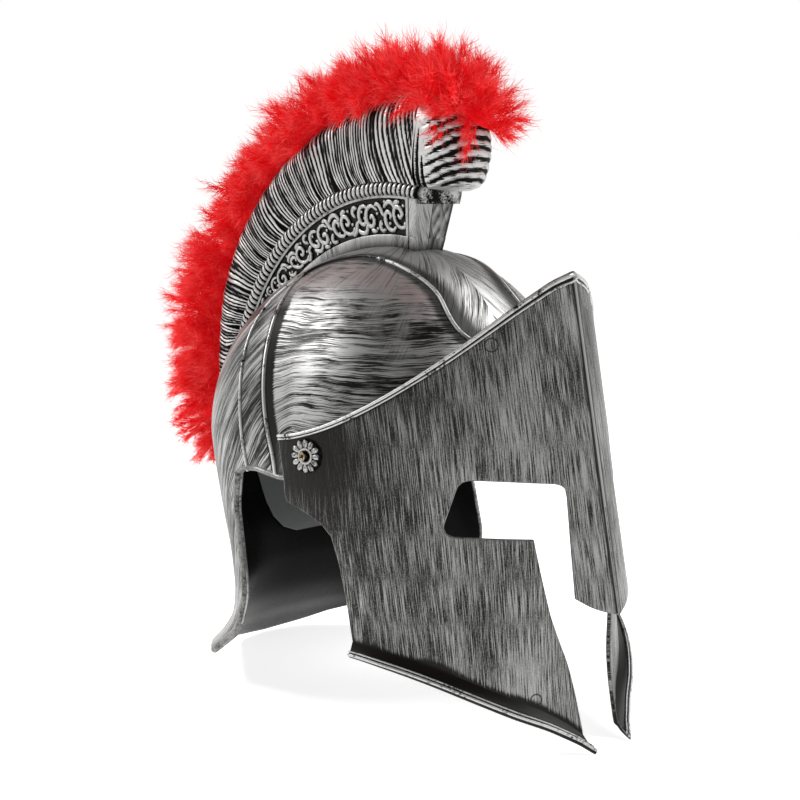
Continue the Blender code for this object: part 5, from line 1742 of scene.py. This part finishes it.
# Radius and height of the washer's stages, and how much silver each one caught
WASHER_STAGES = (
    (ROSETTE_HOLE, 0.0), (0.0088, 0.0), (0.0090, 0.0004), (0.0088, 0.0009), (0.0046, 0.0012),
    (0.0044, 0.0021), (0.0038, 0.0024), (0.0031, 0.0021), (ROSETTE_HOLE, 0.0014),
)
WASHER_RIDGE = (0.0, 0.0, 0.4, 0.25, 0.1, 0.7, 1.0, 0.9, 0.2)


def petal_pattern():
    """One petal, hollowed down its middle, root at the origin and tip along X."""
    rows, columns = 9, 9
    u = np.linspace(0.0, 1.0, rows)[:, None]
    v = np.linspace(-1.0, 1.0, columns)[None]
    width = 0.00225 * np.sin(np.clip(0.16 + 0.80 * u, 0.0, 1.0) * math.pi) ** 0.6 * (0.45 + 0.75 * u)
    x = 0.0034 + 0.0060 * u * (1.0 - 0.12 * v * v * u)
    y = width * v
    crown = 0.0017 * np.clip(np.sin(u * math.pi), 0.0, 1.0) ** 0.6 + 0.0004
    z = 0.0006 + crown * (1.0 - v * v) ** 0.5 - 0.00015 * np.exp(-((v / 0.30) ** 2)) * np.sin(u * math.pi)
    x, y, z = np.broadcast_arrays(x, y, z)
    top = np.stack([x, y, z], axis=-1).reshape(-1, 3)
    ridge = np.clip((z - 0.0006) / 0.0016, 0.0, 1.0) - 0.22 * np.exp(-((v / 0.26) ** 2)) * np.sin(u * 2.6)
    ridge = 0.82 * np.clip(ridge, 0.0, 1.0).ravel()
    faces = grid_faces(rows, columns)[:, ::-1]
    pattern = new_piece("petal", top, faces, {"ridge": ridge}, centre=ORIGIN)
    pattern.data.shade_smooth()
    return pattern


def turned_piece(name, stages, sides, finish, ridge=None):
    """Closed ring turned about Z from (radius, height) stages, with a field ridge by height."""
    turn = np.radians(np.linspace(0.0, 360.0, sides + 1)[:-1])[None]
    radius = np.array([stage[0] for stage in stages])[:, None]
    height = np.array([stage[1] for stage in stages])[:, None] + 0.0 * turn
    points = np.stack([radius * np.cos(turn), radius * np.sin(turn), height], axis=-1)
    faces = tube_faces(len(stages), sides, closed=True)
    fields = {"ridge": np.repeat(np.array(ridge if ridge is not None else [1.0] * len(stages)), sides)}
    piece = new_piece(name, points.reshape(-1, 3), faces, fields, centre=ORIGIN)
    turn_outward(piece)
    piece.data.shade_smooth()
    piece.data.set_sharp_from_angle(angle=math.radians(50.0))
    piece.data.materials.append(finish)
    return piece


for side, name in ((1.0, "left"), (-1.0, "right")):
    outward = Matrix.Rotation(side * math.radians(90.0), 4, "Y")
    tilt = Matrix.Rotation(side * math.radians(-ROSETTE_TILT), 4, "Z")
    pivot = Vector((side * ROSETTE_X, PIVOT_PLACE[0], PIVOT_PLACE[1])) + Vector(HELMET_CENTRE)
    seat = Matrix.Translation(pivot) @ tilt @ outward
    turns = [(0.0, 0.0, 2.0 * math.pi * k / ROSETTE_PETALS) for k in range(ROSETTE_PETALS)]
    roots = [ORIGIN] * ROSETTE_PETALS
    petals = scatter("rosette_petals_" + name, roots, turns, petal_pattern(), relief_silver, centre=ORIGIN)
    petals.data.shade_smooth()
    washer = turned_piece("rosette_disc_" + name, WASHER_STAGES, 48, relief_silver, WASHER_RIDGE)
    for piece in (petals, washer):
        piece.data.transform(seat)
        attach(piece, "face_plate")
        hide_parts("rosette_" + name)


# The eyelets: brass tubes that pin the face plate to the skull, rolled over outside and inside
# and a little dulled, with a dark bore.
RIVET_RADIUS = 0.0017
RIVET_BORE = 0.0009
RIVET_FLANGE = 0.0024
RIVET_INNER_X = 0.0898
RIVET_OUTER_X = 0.1018
# Radius of the tube's stages, and their height past its inner and its outer end
RIVET_INSIDE = (
    (RIVET_BORE, -0.0003), (0.0013, -0.0009), (0.0020, -0.0011), (0.0024, -0.0008), (RIVET_FLANGE, -0.0002),
    (RIVET_FLANGE * 0.93, 0.0), (RIVET_RADIUS, 0.0001),
)
RIVET_OUTSIDE = (
    (RIVET_RADIUS, -0.0001), (RIVET_FLANGE * 0.93, 0.0), (RIVET_FLANGE, 0.0002), (0.0024, 0.0007),
    (0.0020, 0.0009), (0.0014, 0.0008), (0.0010, 0.0004), (RIVET_BORE, -0.0003),
)


def make_dull_brass():
    material, tree, shader = new_finish("dull_brass")
    wear = noise(object_place(tree), 900.0, 3.0, 0.6)
    colour = blend_colours(wear.step(0.35, 0.65), (0.08, 0.06, 0.035), (0.34, 0.29, 0.18))
    set_sockets(shader, Base_Color=colour, Roughness=wear.ramp(0.0, 1.0, 0.42, 0.24), Metallic=1.0)
    return material


dull_brass = make_dull_brass()
for side, name in ((1.0, "left"), (-1.0, "right")):
    tube = [(radius, RIVET_INNER_X + height) for radius, height in RIVET_INSIDE]
    tube += [(radius, RIVET_OUTER_X + height) for radius, height in RIVET_OUTSIDE]
    eyelet = turned_piece("brass_eyelet_" + name, tube, 32, dull_brass)
    place = Vector((0.0, PIVOT_PLACE[0], PIVOT_PLACE[1])) + Vector(HELMET_CENTRE)
    eyelet.data.transform(Matrix.Translation(place) @ Matrix.Rotation(side * math.radians(90.0), 4, "Y"))
    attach(eyelet, "helmet")
    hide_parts("rivet_" + name)


# The label: a blank satin sticker with a rounded lower edge, stuck inside the nape. Its shape
# stays the frame's own, and only its paper is dressed.
plain_label = hazy_finish(
    "plain_label_paper", grain=700.0, detail=3.0,
    dark=(0.15, 0.155, 0.155), light=(0.20, 0.205, 0.205), gloss=0.55, level=0.5,
)
label = frame["nodes"]["inner_label"]
for number in range(len(label.material_slots)):
    label.material_slots[number].material = plain_label


# The studio: a pale light table that fades into a pale surround, a strip light high on the left,
# a little behind the helmet, and a broad box light high on the right.
FLOOR_REACH = 6.0
floor_corners = [(x * FLOOR_REACH, y * FLOOR_REACH, 0.0) for x, y in ((-1, -1), (1, -1), (1, 1), (-1, 1))]
floor = new_piece("floor", floor_corners, [(0, 1, 2, 3)], centre=ORIGIN)
pale, pale_tree, pale_shader = new_finish("pale_floor")
pale_colour = blend_colours(noise(object_place(pale_tree), 3.0), (0.93,) * 3, (0.96,) * 3)
set_sockets(pale_shader, Base_Color=pale_colour, Roughness=0.8)
set_sockets(pale_shader, Emission_Color=(1.0, 1.0, 1.0, 1.0), Emission_Strength=0.78)
floor.data.materials.append(pale)

surround = bpy.data.worlds.new("surround")
surround.use_nodes = True
sky = surround.node_tree
sky_way = Signal(add_node(sky, "ShaderNodeTexCoord").outputs["Generated"])
overhead = axes(sky_way)[2].step(0.16, 0.42)
set_sockets(sky.nodes["Background"], Color=blend_colours(overhead, (1.0,) * 3, (0.16,) * 3))
bpy.context.scene.world = surround


def soft_light(name, place, target, along, size, power):
    """Rectangular lamp turned to a target, its longer side laid along a direction."""
    lamp = bpy.data.lights.new(name, "AREA")
    lamp.shape = "RECTANGLE"
    lamp.size, lamp.size_y = size
    lamp.energy = power
    back = (Vector(place) - Vector(target)).normalized()
    across = (Vector(along) - Vector(along).dot(back) * back).normalized()
    facing = Matrix((across, back.cross(across), back)).transposed().to_4x4()
    item = bpy.data.objects.new(name, lamp)
    item.matrix_world = Matrix.Translation(place) @ facing
    bpy.context.scene.collection.objects.link(item)


soft_light(
    "left_strip", place=(-0.70, 0.87, 1.05), target=(-0.08, -0.05, 0.20), along=(0.69, 0.58, 0.10),
    size=(0.85, 0.16), power=15.0,
)
soft_light(
    "right_box", place=(1.05, -0.60, 1.30), target=(0.0, 0.0, 0.25), along=(0.0, 1.0, 0.0),
    size=(1.10, 0.80), power=16.0,
)

# Camera, turned to the photograph's side and height
CAMERA_TURN = math.radians(43.546)
CAMERA_DROP = math.radians(7.590)
CAMERA_ROLL = math.radians(-0.21)
CAMERA_PLACE = (-0.5787, -0.6045 + HELMET_CENTRE[1], 0.2783 + HELMET_CENTRE[2])
camera_data = bpy.data.cameras.new("photo_camera")
camera_data.sensor_width = 36.0
camera_data.lens = 65.43
camera_data.clip_start = 0.02
camera = bpy.data.objects.new("photo_camera", camera_data)
level_sight = Vector((math.sin(CAMERA_TURN), math.cos(CAMERA_TURN), 0.0))
sight = level_sight * math.cos(CAMERA_DROP) - Vector((0.0, 0.0, math.sin(CAMERA_DROP)))
right = Vector((math.cos(CAMERA_TURN), -math.sin(CAMERA_TURN), 0.0))
above = right.cross(sight)
turned_right = right * math.cos(CAMERA_ROLL) + above * math.sin(CAMERA_ROLL)
turned_above = above * math.cos(CAMERA_ROLL) - right * math.sin(CAMERA_ROLL)
facing = Matrix((turned_right, turned_above, -sight)).transposed().to_4x4()
camera.matrix_world = Matrix.Translation(CAMERA_PLACE) @ facing
bpy.context.scene.collection.objects.link(camera)
bpy.context.scene.camera = camera
bpy.context.scene.view_settings.view_transform = "Standard"
